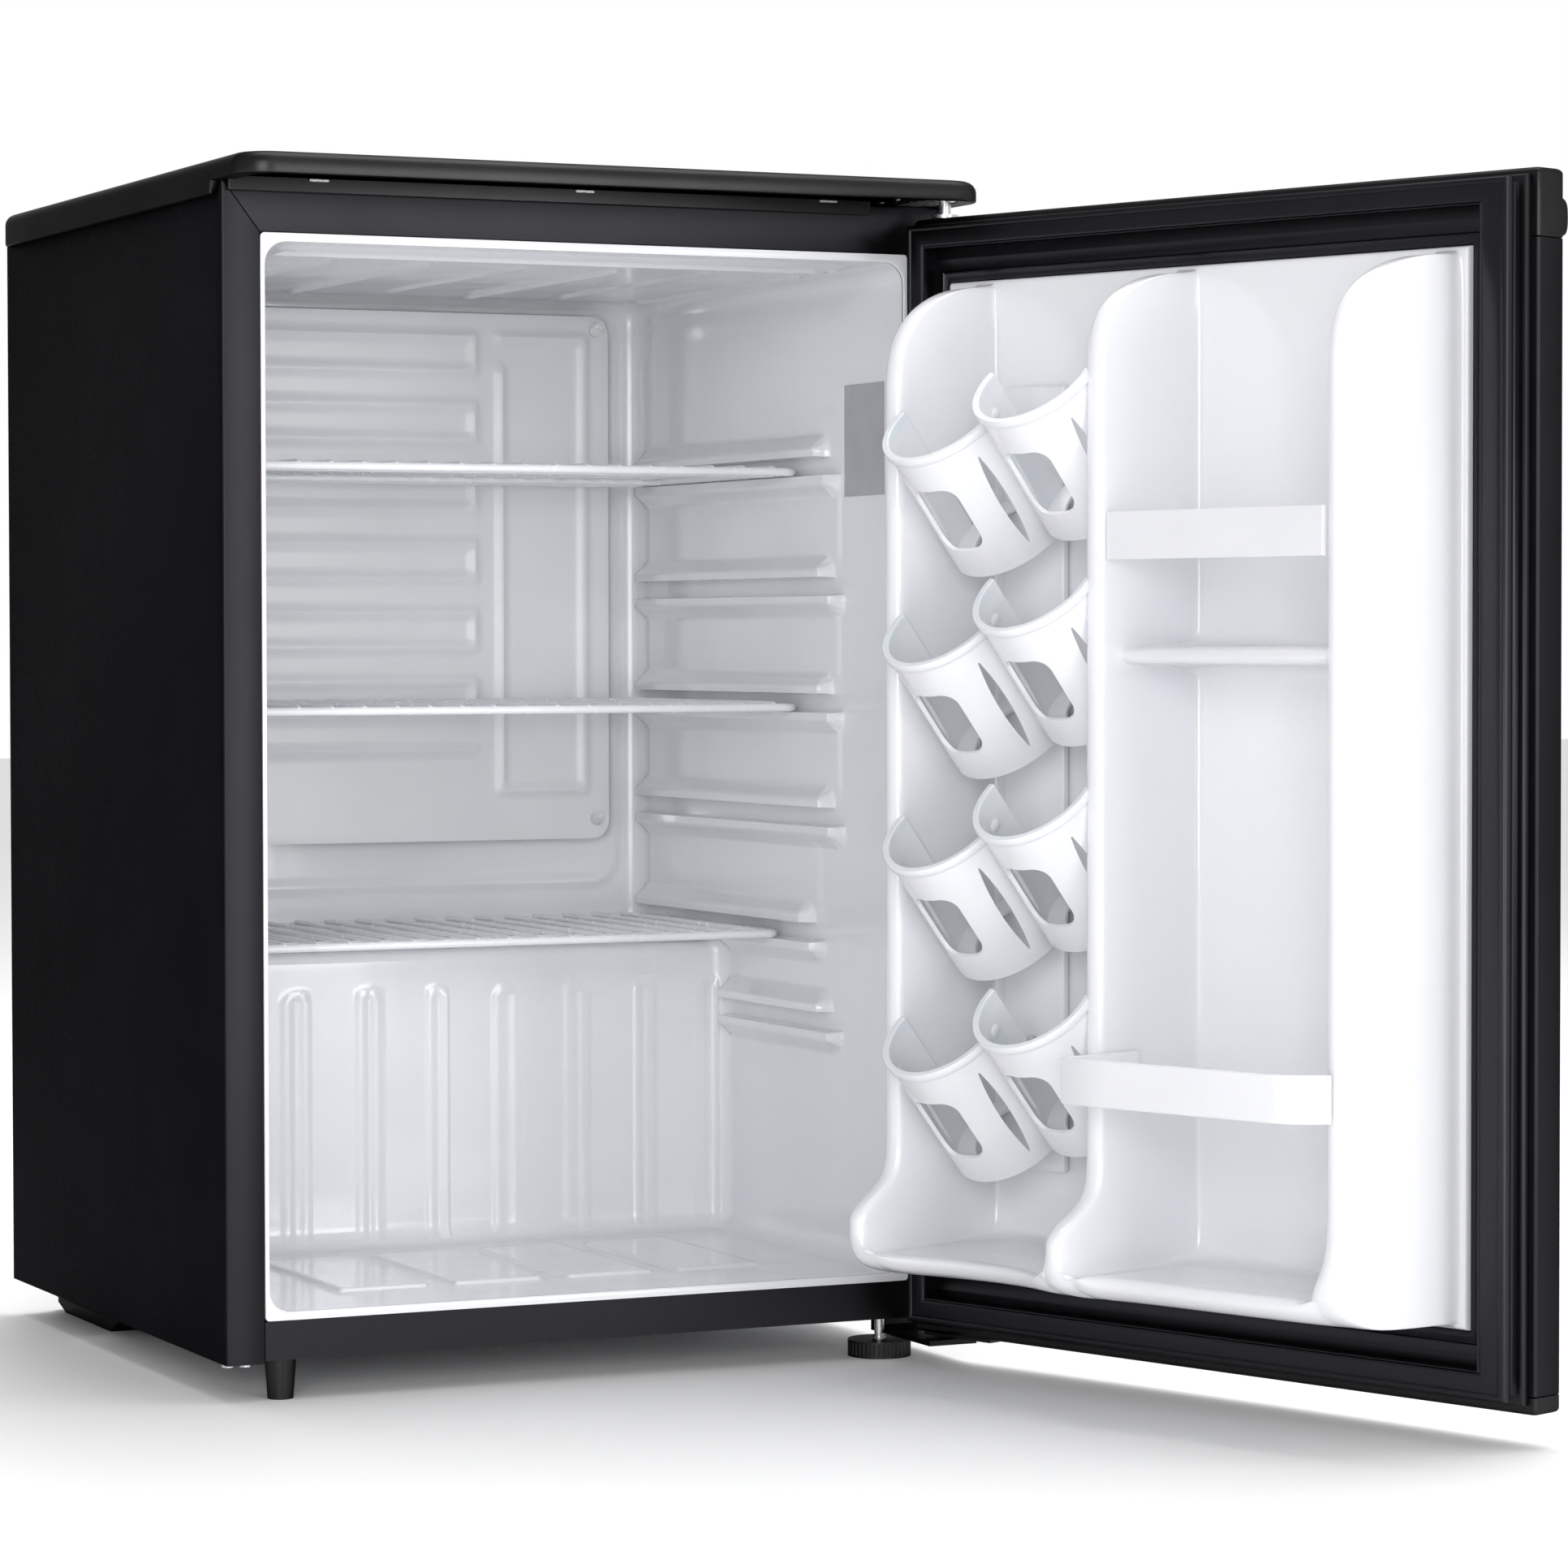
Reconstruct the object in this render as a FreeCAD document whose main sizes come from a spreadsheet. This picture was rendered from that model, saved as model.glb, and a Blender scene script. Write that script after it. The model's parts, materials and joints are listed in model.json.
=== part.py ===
"""Compact black refrigerator: cabinet, hinged door with a can dispenser, wire shelves and cooling unit.

Frame: millimetres, +Z up, +X to the right, +Y to the back. The origin is on the floor, on the cabinet's
centre line and in the plane of its front face. The door is drawn shut about its hinge line and then
turned open by its Placement.
"""
import FreeCAD, Part

import math
import os
import re

import Sketcher

Vector = FreeCAD.Vector
X_AXIS = Vector(1, 0, 0)
Y_AXIS = Vector(0, 1, 0)
Z_AXIS = Vector(0, 0, 1)

# ---------------------------------------------------------------------------------------------
# Driving dimensions
# ---------------------------------------------------------------------------------------------
DIMENSIONS = {
    # cabinet
    "cabinet_width": 440.0,
    "cabinet_depth": 410.0,
    "cabinet_low": 21.0,
    "cabinet_top": 670.0,
    "steel": 0.8,
    "side_flange": 22.0,
    "top_flange_low": 642.0,
    "rail_low": 22.5,
    "rail_high": 44.0,
    "rail_depth": 24.0,
    # cold compartment
    "liner_half": 195.0,
    "liner_low": 49.0,
    "liner_high": 637.0,
    "liner_back": 384.0,
    "liner_step_back": 250.0,
    "liner_step_high": 229.0,
    "liner_wall": 1.6,
    "liner_corner": 12.0,
    "liner_rim": 4.7,
    "liner_rim_side": 2.7,
    "niche_front": 282.0,
    "niche_top": 204.0,
    # worktop
    "cover_side": 4.5,
    "cover_front": 50.0,
    "cover_back": 4.5,
    "cover_low": 662.0,
    "cover_lip_low": 669.3,
    "cover_high": 681.5,
    "cover_wall": 3.0,
    "cover_corner": 19.0,
    "cover_round": 6.5,
    # door, measured from the hinge line
    "hinge_line_x": 207.0,
    "hinge_line_y": -30.25,
    "door_open": 109.24,
    "door_hinge_side": 14.8,
    "door_free_side": 429.1,
    "door_front": 10.8,
    "door_rear": 10.7,
    "door_low": 17.8,
    "door_high": 660.25,
    "top_cap_low": 624.5,
    "bottom_cap_high": 27.4,
    "door_crown": 4.0,
    "pin_radius": 3.5,
    # door liner
    "flange_near": 20.7,
    "flange_far": 390.4,
    "flange_low": 58.8,
    "flange_high": 621.9,
    "flange_face": 18.6,
    "dyke_depth": 97.0,
    "foot_depth": 121.0,
    "free_dyke_depth": 112.0,
    "hinge_dyke_near": 43.0,
    "hinge_dyke_far": 55.6,
    "divider_near": 193.0,
    "divider_far": 206.0,
    "free_dyke_near": 370.0,
    "free_dyke_far": 383.0,
    "bay_floor": 79.0,
    "bay_shelf_low": 405.0,
    "bay_shelf_high": 414.5,
    # gasket
    "gasket_base": 16.0,
    "gasket_face": 29.9,
    # can dispenser
    "can_radius": 33.1,
    "can_length": 122.0,
    "can_tilt": 42.0,
    "can_lid_depth": 125.0,
    "can_pitch": 112.0,
    "near_column": 91.0,
    "far_column": 159.0,
    "near_column_top": 570.0,
    "far_column_top": 589.0,
    "cup_wall": 2.2,
    "cup_length": 82.0,
    # shelves
    "shelf_half": 189.5,
    "shelf_back": 361.0,
    "frame_wire": 2.5,
    "grid_wire": 1.5,
    "grid_pitch": 20.2,
    # cooling unit
    "compressor_x": -75.0,
    "compressor_y": 350.0,
    "compressor_radius": 50.0,
    "compressor_low": 34.0,
    "compressor_high": 172.0,
}

doc = FreeCAD.newDocument("compact_refrigerator")
sheet = doc.addObject("Spreadsheet::Sheet", "dims")
for row, (alias, value) in enumerate(DIMENSIONS.items(), start=1):
    sheet.set(f"A{row}", alias)
    sheet.set(f"B{row}", str(value))
    sheet.setAlias(f"B{row}", alias)
doc.recompute()

parts = []


def size(alias):
    """A driving dimension, read back from the sheet."""
    return float(sheet.get(alias))


def bound(expression):
    """An expression for setExpression, with every alias in it pointed at the sheet."""
    return re.sub(
        "[a-z_]+",
        lambda word: f"dims.{word[0]}" if word[0] in DIMENSIONS else word[0],
        str(expression),
    )


def keep(obj, node):
    """Names an object as a sub-part."""
    obj.Label = node
    parts.append(obj)
    return obj


# ---------------------------------------------------------------------------------------------
# Building blocks
# ---------------------------------------------------------------------------------------------
def block(name, x_range, y_range, z_range):
    """A Part::Box between pairs of expressions."""
    box = doc.addObject("Part::Box", name)
    for prop, axis, (low, high) in (
        ("Length", "x", x_range),
        ("Width", "y", y_range),
        ("Height", "z", z_range),
    ):
        box.setExpression(prop, bound(f"({high}) - ({low})"))
        box.setExpression(f"Placement.Base.{axis}", bound(low))
    return box


def cut(name, base, *tools):
    """base minus every tool."""
    result = doc.addObject("Part::Cut", name)
    result.Base = base
    result.Tool = tools[0] if len(tools) == 1 else join(f"{name}_tools", *tools)
    return result


def join(name, *shapes):
    """The union of the shapes."""
    result = doc.addObject("Part::MultiFuse", name)
    result.Shapes = list(shapes)
    result.Refine = True
    return result


def rounded(name, base, radius, chosen):
    """A Part::Fillet on the edges that chosen(edge) picks."""
    doc.recompute()
    fillet = doc.addObject("Part::Fillet", name)
    fillet.Base = base
    value = size(radius)
    fillet.Edges = [
        (number, value, value) for number, edge in enumerate(base.Shape.Edges, start=1) if chosen(edge)
    ]
    return fillet


def along(edge, axis):
    """True if the edge is straight and parallel to the axis."""
    if not isinstance(edge.Curve, Part.Line):
        return False
    return abs(abs(edge.Curve.Direction.dot(axis)) - 1) < 1e-6


def middle(edge):
    """The point half way along an edge."""
    return edge.valueAt((edge.FirstParameter + edge.LastParameter) / 2)


def feature(name, shape):
    """A Part::Feature that holds a shape worked out in code."""
    result = doc.addObject("Part::Feature", name)
    result.Shape = shape
    return result


def sketch_on(body, role, name):
    """A new sketch on one of a body's origin planes."""
    plane = next(item for item in body.Origin.OriginFeatures if item.Role == role)
    sketch = body.newObject("Sketcher::SketchObject", name)
    sketch.AttachmentSupport = [(plane, "")]
    sketch.MapMode = "FlatFace"
    return sketch


def rectangle(sketch, left, right, low, high):
    """A fully constrained rectangle, its four distances bound to the sheet."""
    first = sketch.GeometryCount
    corners = [Vector(0, 0, 0), Vector(9, 0, 0), Vector(9, 9, 0), Vector(0, 9, 0)]
    for number in range(4):
        sketch.addGeometry(Part.LineSegment(corners[number], corners[(number + 1) % 4]), False)
    for number in range(4):
        after = first + (number + 1) % 4
        sketch.addConstraint(Sketcher.Constraint("Coincident", first + number, 2, after, 1))
    for number, kind in enumerate(("Horizontal", "Vertical", "Horizontal", "Vertical")):
        sketch.addConstraint(Sketcher.Constraint(kind, first + number))
    for kind, point, expression in (
        ("DistanceX", 1, left),
        ("DistanceY", 1, low),
    ):
        index = sketch.addConstraint(Sketcher.Constraint(kind, -1, 1, first, point, -1.0))
        sketch.setExpression(f"Constraints[{index}]", bound(expression))
    width = sketch.addConstraint(Sketcher.Constraint("DistanceX", first, 1, first, 2, 9.0))
    sketch.setExpression(f"Constraints[{width}]", bound(f"({right}) - ({left})"))
    height = sketch.addConstraint(Sketcher.Constraint("DistanceY", first + 1, 1, first + 1, 2, 9.0))
    sketch.setExpression(f"Constraints[{height}]", bound(f"({high}) - ({low})"))


def sheet_body(node, role, outline, thickness, reverse=False):
    """A PartDesign::Body with one padded rectangle: a flat sheet or plate."""
    body = doc.addObject("PartDesign::Body", node)
    sketch = sketch_on(body, role, f"{node}_outline")
    rectangle(sketch, *outline)
    pad = body.newObject("PartDesign::Pad", f"{node}_pad")
    pad.Profile = sketch
    pad.setExpression("Length", bound(thickness))
    pad.Reversed = reverse
    body.Tip = pad
    return body


def on_door(obj):
    """Turns a piece drawn about the hinge line to where the open door holds it."""
    obj.setExpression("Placement.Base.x", bound("hinge_line_x"))
    obj.setExpression("Placement.Base.y", bound("hinge_line_y"))
    obj.Placement.Rotation = FreeCAD.Rotation(Z_AXIS, size("door_open"))
    obj.setExpression("Placement.Rotation.Angle", bound("door_open"))
    return obj


def door_point(across, deep, high):
    """A point of the shut door about its hinge line: across towards the free edge, deep inwards."""
    return Vector(-across, deep, high)


def prism_across(profile, near, far):
    """A solid whose (deep, high) outline runs across the door from near to far."""
    wire = Part.makePolygon([door_point(near, deep, high) for deep, high in profile + profile[:1]])
    return Part.Face(wire).extrude(Vector(near - far, 0, 0))


def tube(points, radius):
    """A round wire along straight runs, with ball joints at its corners."""
    solids = []
    for first, last in zip(points, points[1:]):
        run = last - first
        solids.append(Part.makeCylinder(radius, run.Length, first, run))
    solids += [Part.makeSphere(radius, point) for point in points[1:-1]]
    return solids[0].fuse(solids[1:]).removeSplitter() if len(solids) > 1 else solids[0]


# ---------------------------------------------------------------------------------------------
# Cabinet
# ---------------------------------------------------------------------------------------------
HALF = "cabinet_width / 2"


def make_cabinet_shell():
    """The painted steel wrap: two sides and a top, with a flange folded in round the front."""
    outer = block("shell_outer", (f"-{HALF}", HALF), (0, "cabinet_depth"), ("cabinet_low", "cabinet_top"))
    inner = block(
        "shell_inner",
        (f"-{HALF} + steel", f"{HALF} - steel"),
        ("steel", "cabinet_depth + 1"),
        ("cabinet_low - 1", "cabinet_top - steel"),
    )
    opening = block(
        "shell_opening",
        (f"-{HALF} + side_flange", f"{HALF} - side_flange"),
        (-1, "steel + 1"),
        ("cabinet_low - 1", "top_flange_low"),
    )
    keep(cut("cabinet_shell", outer, inner, opening), "cabinet_shell")


def make_front_rail():
    """The bottom front rail: a channel between the two side flanges."""
    half_rail = f"{HALF} - side_flange - 0.3"
    body = doc.addObject("PartDesign::Body", "front_rail")
    sketch = sketch_on(body, "XY_Plane", "rail_plan")
    rectangle(sketch, f"-({half_rail})", half_rail, 0, "rail_depth")
    pad = body.newObject("PartDesign::Pad", "rail_block")
    pad.Profile = sketch
    pad.setExpression("Length", bound("rail_high - rail_low"))
    body.Tip = pad
    hollow = sketch_on(body, "YZ_Plane", "rail_channel")
    rectangle(hollow, "steel", "rail_depth + 1", "steel", "rail_high - rail_low - steel")
    pocket = body.newObject("PartDesign::Pocket", "rail_hollow")
    pocket.Profile = hollow
    pocket.Type = 1
    pocket.Midplane = True
    body.Tip = pocket
    body.setExpression("Placement.Base.z", bound("rail_low"))
    keep(body, "front_rail")


def make_base_pan():
    """The floor sheet, stepped up and back over the compressor niche."""
    low = size("cabinet_low") + 1.6
    steel = size("steel")
    front = size("rail_depth") + 1
    back = size("cabinet_depth") - 1.2
    niche_front = size("niche_front")
    niche_top = size("niche_top")
    lean = 8.0
    outline = [
        (front, low),
        (niche_front, low),
        (niche_front + lean, niche_top),
        (back, niche_top),
        (back, niche_top + steel),
        (niche_front + lean - steel, niche_top + steel),
        (niche_front - steel, low + steel),
        (front, low + steel),
    ]
    half = size("cabinet_width") / 2 - steel - 0.3
    wire = Part.makePolygon([Vector(-half, deep, high) for deep, high in outline + outline[:1]])
    keep(feature("base_pan", Part.Face(wire).extrude(Vector(2 * half, 0, 0))), "base_pan")


def make_rear_panel():
    """The flat back sheet, from the compressor niche up to the worktop."""
    half = f"{HALF} - steel - 0.3"
    body = sheet_body(
        "rear_panel",
        "XZ_Plane",
        (f"-({half})", half, "niche_top + 1.2", "cabinet_top - steel - 0.3"),
        "steel",
    )
    body.setExpression("Placement.Base.y", bound("cabinet_depth"))
    keep(body, "rear_panel")


def liner_tub(name, grow):
    """The cold compartment's inside shape, grown outwards by a wall thickness."""
    upper = block(
        f"{name}_upper",
        (f"-liner_half - {grow}", f"liner_half + {grow}"),
        (-1, f"liner_back + {grow}"),
        (f"liner_low - {grow}", f"liner_high + {grow}"),
    )
    step = block(
        f"{name}_step",
        ("-liner_half - 20", "liner_half + 20"),
        (f"liner_step_back + {grow}", "liner_back + 20"),
        ("liner_low - 20", f"liner_step_high - {grow}"),
    )
    tub = cut(f"{name}_tub", upper, step)
    return rounded(f"{name}_round", tub, "liner_corner", lambda edge: along(edge, Y_AXIS))


# slots for the shelves on each side wall: (height of the slot's floor, how far back its front end lies)
SLOTS = (
    (516.6, 83.0),
    (444.5, 77.0),
    (374.6, 78.0),
    (306.3, 77.0),
    (236.1, 104.0),
    (183.3, 80.0),
)
SLOT_HEIGHT = 11.7
RUNNER_DEPTH = 10.5
RUNNER_HEIGHT = 13.0
RUNNER_EDGE = 5.0
UPPER_RUNNER_SET_BACK = 14.0
# floor panels: centres across, half width, and where they start and end from front to back
FLOOR_PANELS = (-105.0, -35.0, 35.0, 105.0)
PANEL_HALF = 27.5
PANEL_FRONT, PANEL_BACK = 60.0, 203.0
FUSED = 0.8


def runner(side, edge, away, front, end):
    """A runner on one side wall: full depth at its slot's edge, sloping to the wall away from it."""
    wall = side * size("liner_half")
    crest = wall - side * RUNNER_DEPTH
    root = wall + side * FUSED
    profile = [
        Vector(root, front, edge),
        Vector(crest, front, edge),
        Vector(crest, front, edge + away * RUNNER_EDGE),
        Vector(wall, front, edge + away * RUNNER_HEIGHT),
        Vector(root, front, edge + away * RUNNER_HEIGHT),
        Vector(root, front, edge),
    ]
    return Part.Face(Part.makePolygon(profile)).extrude(Vector(0, end - front, 0))


def make_inner_liner():
    """The white moulded tub with its front rim, side runners and floor ribs."""
    outside = liner_tub("liner_outside", "liner_wall")
    inside = liner_tub("liner_inside", "0")
    rim = block(
        "liner_rim_plate",
        ("-liner_half - liner_rim_side", "liner_half + liner_rim_side"),
        (0, "liner_wall"),
        ("liner_low - liner_rim", "liner_high + liner_rim"),
    )
    front_trim = block("liner_front_trim", (-300, 300), (-20, 0), (0, 700))
    shell = cut("liner_shell", join("liner_with_rim", outside, rim), inside, front_trim)
    back = size("liner_back") - 30
    step_back = size("liner_step_back") - 14
    runners = []
    for floor, front in SLOTS:
        lower_end = back if floor - RUNNER_HEIGHT > size("liner_step_high") else step_back
        upper_end = back if floor > size("liner_step_high") else step_back
        for side in (-1, 1):
            runners.append(runner(side, floor, -1, front, lower_end))
            runners.append(runner(side, floor + SLOT_HEIGHT, 1, front + UPPER_RUNNER_SET_BACK, upper_end))
    length = PANEL_BACK - PANEL_FRONT
    floor_ribs = [
        Part.makeBox(2.4, length, 2.0, Vector(centre + offset - 1.2, PANEL_FRONT, size("liner_low") - FUSED))
        for centre in FLOOR_PANELS
        for offset in (-PANEL_HALF, PANEL_HALF)
    ]
    doc.recompute()
    ledges = feature("liner_ledges", Part.makeCompound(runners + floor_ribs))
    result = join("inner_liner", shell, ledges)
    keep(result, "inner_liner")


def make_insulation():
    """The foam between liner and shell, drawn as one closed solid clear of both."""
    gap = "(steel + 0.5)"
    whole = block(
        "foam_whole",
        (f"-{HALF} + {gap}", f"{HALF} - {gap}"),
        ("rail_depth + 2", "cabinet_depth - 9.5"),
        ("cabinet_low + 3.2", f"cabinet_top - {gap}"),
    )
    tub = liner_tub("foam_core", "(liner_wall + 0.4)")
    niche = block(
        "foam_niche",
        (-300, 300),
        ("niche_front - 1.6", "cabinet_depth + 20"),
        (0, "niche_top + 1.6"),
    )
    keep(cut("insulation_foam", whole, tub, niche), "insulation_foam")


def make_worktop_cover():
    """The moulded worktop: a shallow tray turned over, with a deep lip above the door."""
    side = f"{HALF} + cover_side"
    slab = block(
        "cover_slab",
        (f"-({side})", side),
        ("-cover_front", "cabinet_depth + cover_back"),
        ("cover_low", "cover_high"),
    )
    corners = rounded("cover_corners", slab, "cover_corner", lambda edge: along(edge, Z_AXIS) and middle(edge).y < 0)
    top_round = rounded(
        "cover_top_round",
        corners,
        "cover_round",
        lambda edge: abs(middle(edge).z - size("cover_high")) < 0.01,
    )
    under_lip = block("cover_under_lip", (-300, 300), (-60, 4.5), (600, "cover_lip_low"))
    lip_hollow = block(
        "cover_lip_hollow",
        ("-liner_half - 16", "liner_half + 16"),
        ("-cover_front + 7", "-3.6"),
        (600, "cover_high - cover_wall - 1"),
    )
    tray = block(
        "cover_tray",
        (f"-{HALF} - 0.4", f"{HALF} + 0.4"),
        ("-0.6", "cabinet_depth + 0.8"),
        (600, "cabinet_top + 0.4"),
    )
    roof = block(
        "cover_roof",
        (f"-{HALF} + 3", f"{HALF} - 3"),
        (8, "cabinet_depth - 3"),
        (600, "cover_high - cover_wall"),
    )
    notch = block(
        "cover_notch",
        ("hinge_line_x - 19", "hinge_line_x + 10"),
        ("-cover_front + 8", 60),
        (600, "cabinet_top + 4.2"),
    )
    skirt = block("cover_skirt", ("-liner_half - 22", "liner_half - 22"), (-3.4, "-0.8"), (663.5, "cover_lip_low + 3"))
    tray_cut = cut("cover_hollow", top_round, under_lip, lip_hollow, tray, roof, notch)
    keep(join("worktop_cover", tray_cut, skirt), "worktop_cover")


def make_cover_clips():
    """Four spring clips that hold the worktop's lip."""
    clips = [
        Part.makeBox(11, 1.2, 1.2, Vector(x - 5.5, y, z))
        for x, y, z in ((-165, -4.8, 669.8), (-7, -4.8, 669.8), (145, -4.8, 669.8), (-25, -42.8, 670.5))
    ]
    keep(feature("cover_clips", Part.makeCompound(clips)), "cover_clips")


# ---------------------------------------------------------------------------------------------
# Cooling unit
# ---------------------------------------------------------------------------------------------
def make_evaporator():
    """The roll-bonded evaporator plate in front of the back wall, with raised channels."""
    back = size("liner_back")
    plate = Part.makeBox(336, 2, 337, Vector(-168, back - 13, 290))
    plate = plate.makeFillet(12, [edge for edge in plate.Edges if along(edge, Y_AXIS)])
    channels = []
    rows = [612 - 22 * number for number in range(13)]
    left, right, face = -150.0, 74.0, back - 13.4
    path = []
    for number, high in enumerate(rows):
        ends = (left, right) if number % 2 == 0 else (right, left)
        path += [Vector(x, face, high) for x in ends]
    channels.append(tube(path, 3.0))
    loop = [(93, 612), (150, 612), (150, 322), (93, 322), (93, 590)]
    channels.append(tube([Vector(x, face, high) for x, high in loop], 3.0))
    front_trim = Part.makeBox(400, 20, 400, Vector(-200, back - 11.2, 280))
    shape = plate.fuse(channels).cut(front_trim)
    keep(feature("evaporator_plate", shape.removeSplitter()), "evaporator_plate")


def make_evaporator_screws():
    """Four screws with sleeves that stand the evaporator off the back wall."""
    back = size("liner_back")
    screws = []
    for x in (-159, 159):
        for high in (303, 618):
            sleeve = Part.makeCylinder(4, 10.6, Vector(x, back - 10.9, high), Y_AXIS)
            head = Part.makeCylinder(4.4, 2.4, Vector(x, back - 15.6, high), Y_AXIS)
            screws += [sleeve, head]
    keep(feature("evaporator_screws", Part.makeCompound(screws)), "evaporator_screws")


def make_compressor():
    """The sealed compressor: a drawn can with a seam and three short tube stubs."""
    centre = Vector(size("compressor_x"), size("compressor_y"), size("compressor_low"))
    radius = size("compressor_radius")
    high = size("compressor_high") - size("compressor_low")
    can = Part.makeCylinder(radius, high, centre)
    can = can.makeFillet(22, [edge for edge in can.Edges if not along(edge, Z_AXIS)])
    seam = Part.makeCylinder(radius + 2, 4, centre + Vector(0, 0, high * 0.55))
    stubs = [
        Part.makeCylinder(4, 16, centre + Vector(radius - 6, offset, lift), X_AXIS)
        for offset, lift in ((-14, 42), (6, 50), (20, 34))
    ]
    keep(feature("compressor", can.fuse([seam] + stubs).removeSplitter()), "compressor")


# width over which each end of the compressor plate slopes up
PLATE_SLOPE = 26.0


def make_mounting_plate():
    """The cross plate under the compressor, with ends that slope up to the cabinet's sides."""
    half = size("cabinet_width") / 2 - size("steel") - 0.6
    flat = half - PLATE_SLOPE
    low = 8.0
    wire = Part.makePolygon(
        [
            Vector(-flat, 286, low + 12),
            Vector(-flat, 300, low),
            Vector(-flat, 408, low),
            Vector(-flat, 408, low + 2),
            Vector(-flat, 300.8, low + 2),
            Vector(-flat, 288, low + 12.6),
            Vector(-flat, 286, low + 12),
        ]
    )
    shapes = [Part.Face(wire).extrude(Vector(2 * flat, 0, 0))]
    for side in (-1, 1):
        cheek = Part.makePolygon(
            [
                Vector(side * (flat - 1), 301, low),
                Vector(side * flat, 301, low),
                Vector(side * half, 301, low + 15),
                Vector(side * half, 301, low + 62),
                Vector(side * (half - 2), 301, low + 62),
                Vector(side * (half - 2), 301, low + 16),
                Vector(side * (flat - 1), 301, low + 2),
                Vector(side * (flat - 1), 301, low),
            ]
        )
        shapes.append(Part.Face(cheek).extrude(Vector(0, 100, 0)))
    keep(feature("compressor_plate", shapes[0].fuse(shapes[1:]).removeSplitter()), "compressor_plate")


def make_rear_feet():
    """Two wedge-shaped moulded feet under the ends of the compressor plate."""
    feet = []
    for side in (-1, 1):
        start = side * 192.0
        wire = Part.makePolygon(
            [
                Vector(start, 262, 20.6),
                Vector(start, 300, 0),
                Vector(start, 392, 0),
                Vector(start, 408, 5),
                Vector(start, 408, 7.7),
                Vector(start, 299, 7.7),
                Vector(start, 284, 19),
                Vector(start, 270, 20.6),
                Vector(start, 262, 20.6),
            ]
        )
        feet.append(Part.Face(wire).extrude(Vector(-side * 26, 0, 0)))
    keep(feature("rear_feet", Part.makeCompound(feet)), "rear_feet")


def compressor_legs():
    """The four places where the compressor stands on its plate."""
    x, y = size("compressor_x"), size("compressor_y")
    return [(x + side * 62, y + end * 40) for side in (-1, 1) for end in (-1, 1)]


def make_compressor_mounts():
    """The steel rail under the compressor and four rubber grommets below it."""
    x, y, low = size("compressor_x"), size("compressor_y"), size("compressor_low")
    rail = Part.makeBox(150, 100, 3, Vector(x - 75, y - 50, low - 9))
    saddle = Part.makeCylinder(30, 5.8, Vector(x, y, low - 6))
    holes = [Part.makeCylinder(4.2, 10, Vector(leg_x, leg_y, low - 12)) for leg_x, leg_y in compressor_legs()]
    keep(feature("compressor_rail", rail.fuse(saddle).cut(holes)), "compressor_rail")
    grommets = []
    bolts = []
    for leg_x, leg_y in compressor_legs():
        ring = Part.makeCylinder(9, low - 9 - 10.2, Vector(leg_x, leg_y, 10.1))
        grommets.append(ring.cut(Part.makeCylinder(3.4, 40, Vector(leg_x, leg_y, 0))))
        shank = Part.makeCylinder(3, low - 4 - 10.1, Vector(leg_x, leg_y, 10.1))
        head = Part.makeCylinder(6.5, 4, Vector(leg_x, leg_y, low - 5.8))
        bolts.append(shank.fuse(head))
    keep(feature("compressor_grommets", Part.makeCompound(grommets)), "compressor_grommets")
    keep(feature("compressor_bolts", Part.makeCompound(bolts)), "compressor_bolts")


def make_relay_and_pipes():
    """The relay cover, filter drier, suction and discharge pipes and the drip tray."""
    x, y, low = size("compressor_x"), size("compressor_y"), size("compressor_low")
    radius = size("compressor_radius")
    relay = Part.makeBox(34, 52, 58, Vector(x - radius - 36.5, y - 26, low + 28))
    relay = relay.makeFillet(5, [edge for edge in relay.Edges if along(edge, Z_AXIS)])
    keep(feature("relay_cover", relay), "relay_cover")

    start = x + radius + 10.3
    suction = [Vector(start, y - 14, low + 42), Vector(start + 40, y - 14, low + 42)]
    suction += [Vector(start + 40, y - 14, 196), Vector(start + 110, y - 14, 196)]
    keep(feature("suction_pipe", tube(suction, 3.2)), "suction_pipe")
    discharge = [Vector(start, y + 6, low + 50), Vector(start + 70, y + 6, low + 50)]
    discharge += [Vector(start + 70, y + 6, 190), Vector(start + 150, y + 6, 190)]
    keep(feature("discharge_pipe", tube(discharge, 2.5)), "discharge_pipe")
    drier = Part.makeCylinder(8, 70, Vector(start + 84, y + 34, 60), Z_AXIS)
    drier = drier.makeFillet(4, [edge for edge in drier.Edges if not along(edge, Z_AXIS)])
    keep(feature("filter_drier", drier), "filter_drier")

    coil_x, coil_y = start + 84, y + 34
    capillary = [Vector(coil_x, coil_y, 130.2), Vector(coil_x, coil_y, 152)]
    capillary += [Vector(coil_x + 26, coil_y, 152), Vector(coil_x + 26, coil_y, 200)]
    keep(feature("capillary_tube", tube(capillary, 1.2)), "capillary_tube")

    tray = Part.makeBox(120, 78, 14, Vector(x - 60, y - 39, size("compressor_high") + 0.6))
    tray = tray.makeFillet(10, [edge for edge in tray.Edges if along(edge, Z_AXIS)])
    hollow = Part.makeBox(116, 74, 20, Vector(x - 58, y - 37, size("compressor_high") + 2.6))
    hollow = hollow.makeFillet(8, [edge for edge in hollow.Edges if along(edge, Z_AXIS)])
    keep(feature("drip_tray", tray.cut(hollow)), "drip_tray")


def make_condenser():
    """The condenser tube, bent to and fro behind the foam and against the back sheet."""
    depth = size("cabinet_depth") - 4.4
    path = []
    for number in range(12):
        high = 640 - 34 * number
        ends = (-196, 196) if number % 2 == 0 else (196, -196)
        path += [Vector(x, depth, high) for x in ends]
    keep(feature("condenser_tube", tube(path, 2.4)), "condenser_tube")


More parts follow.
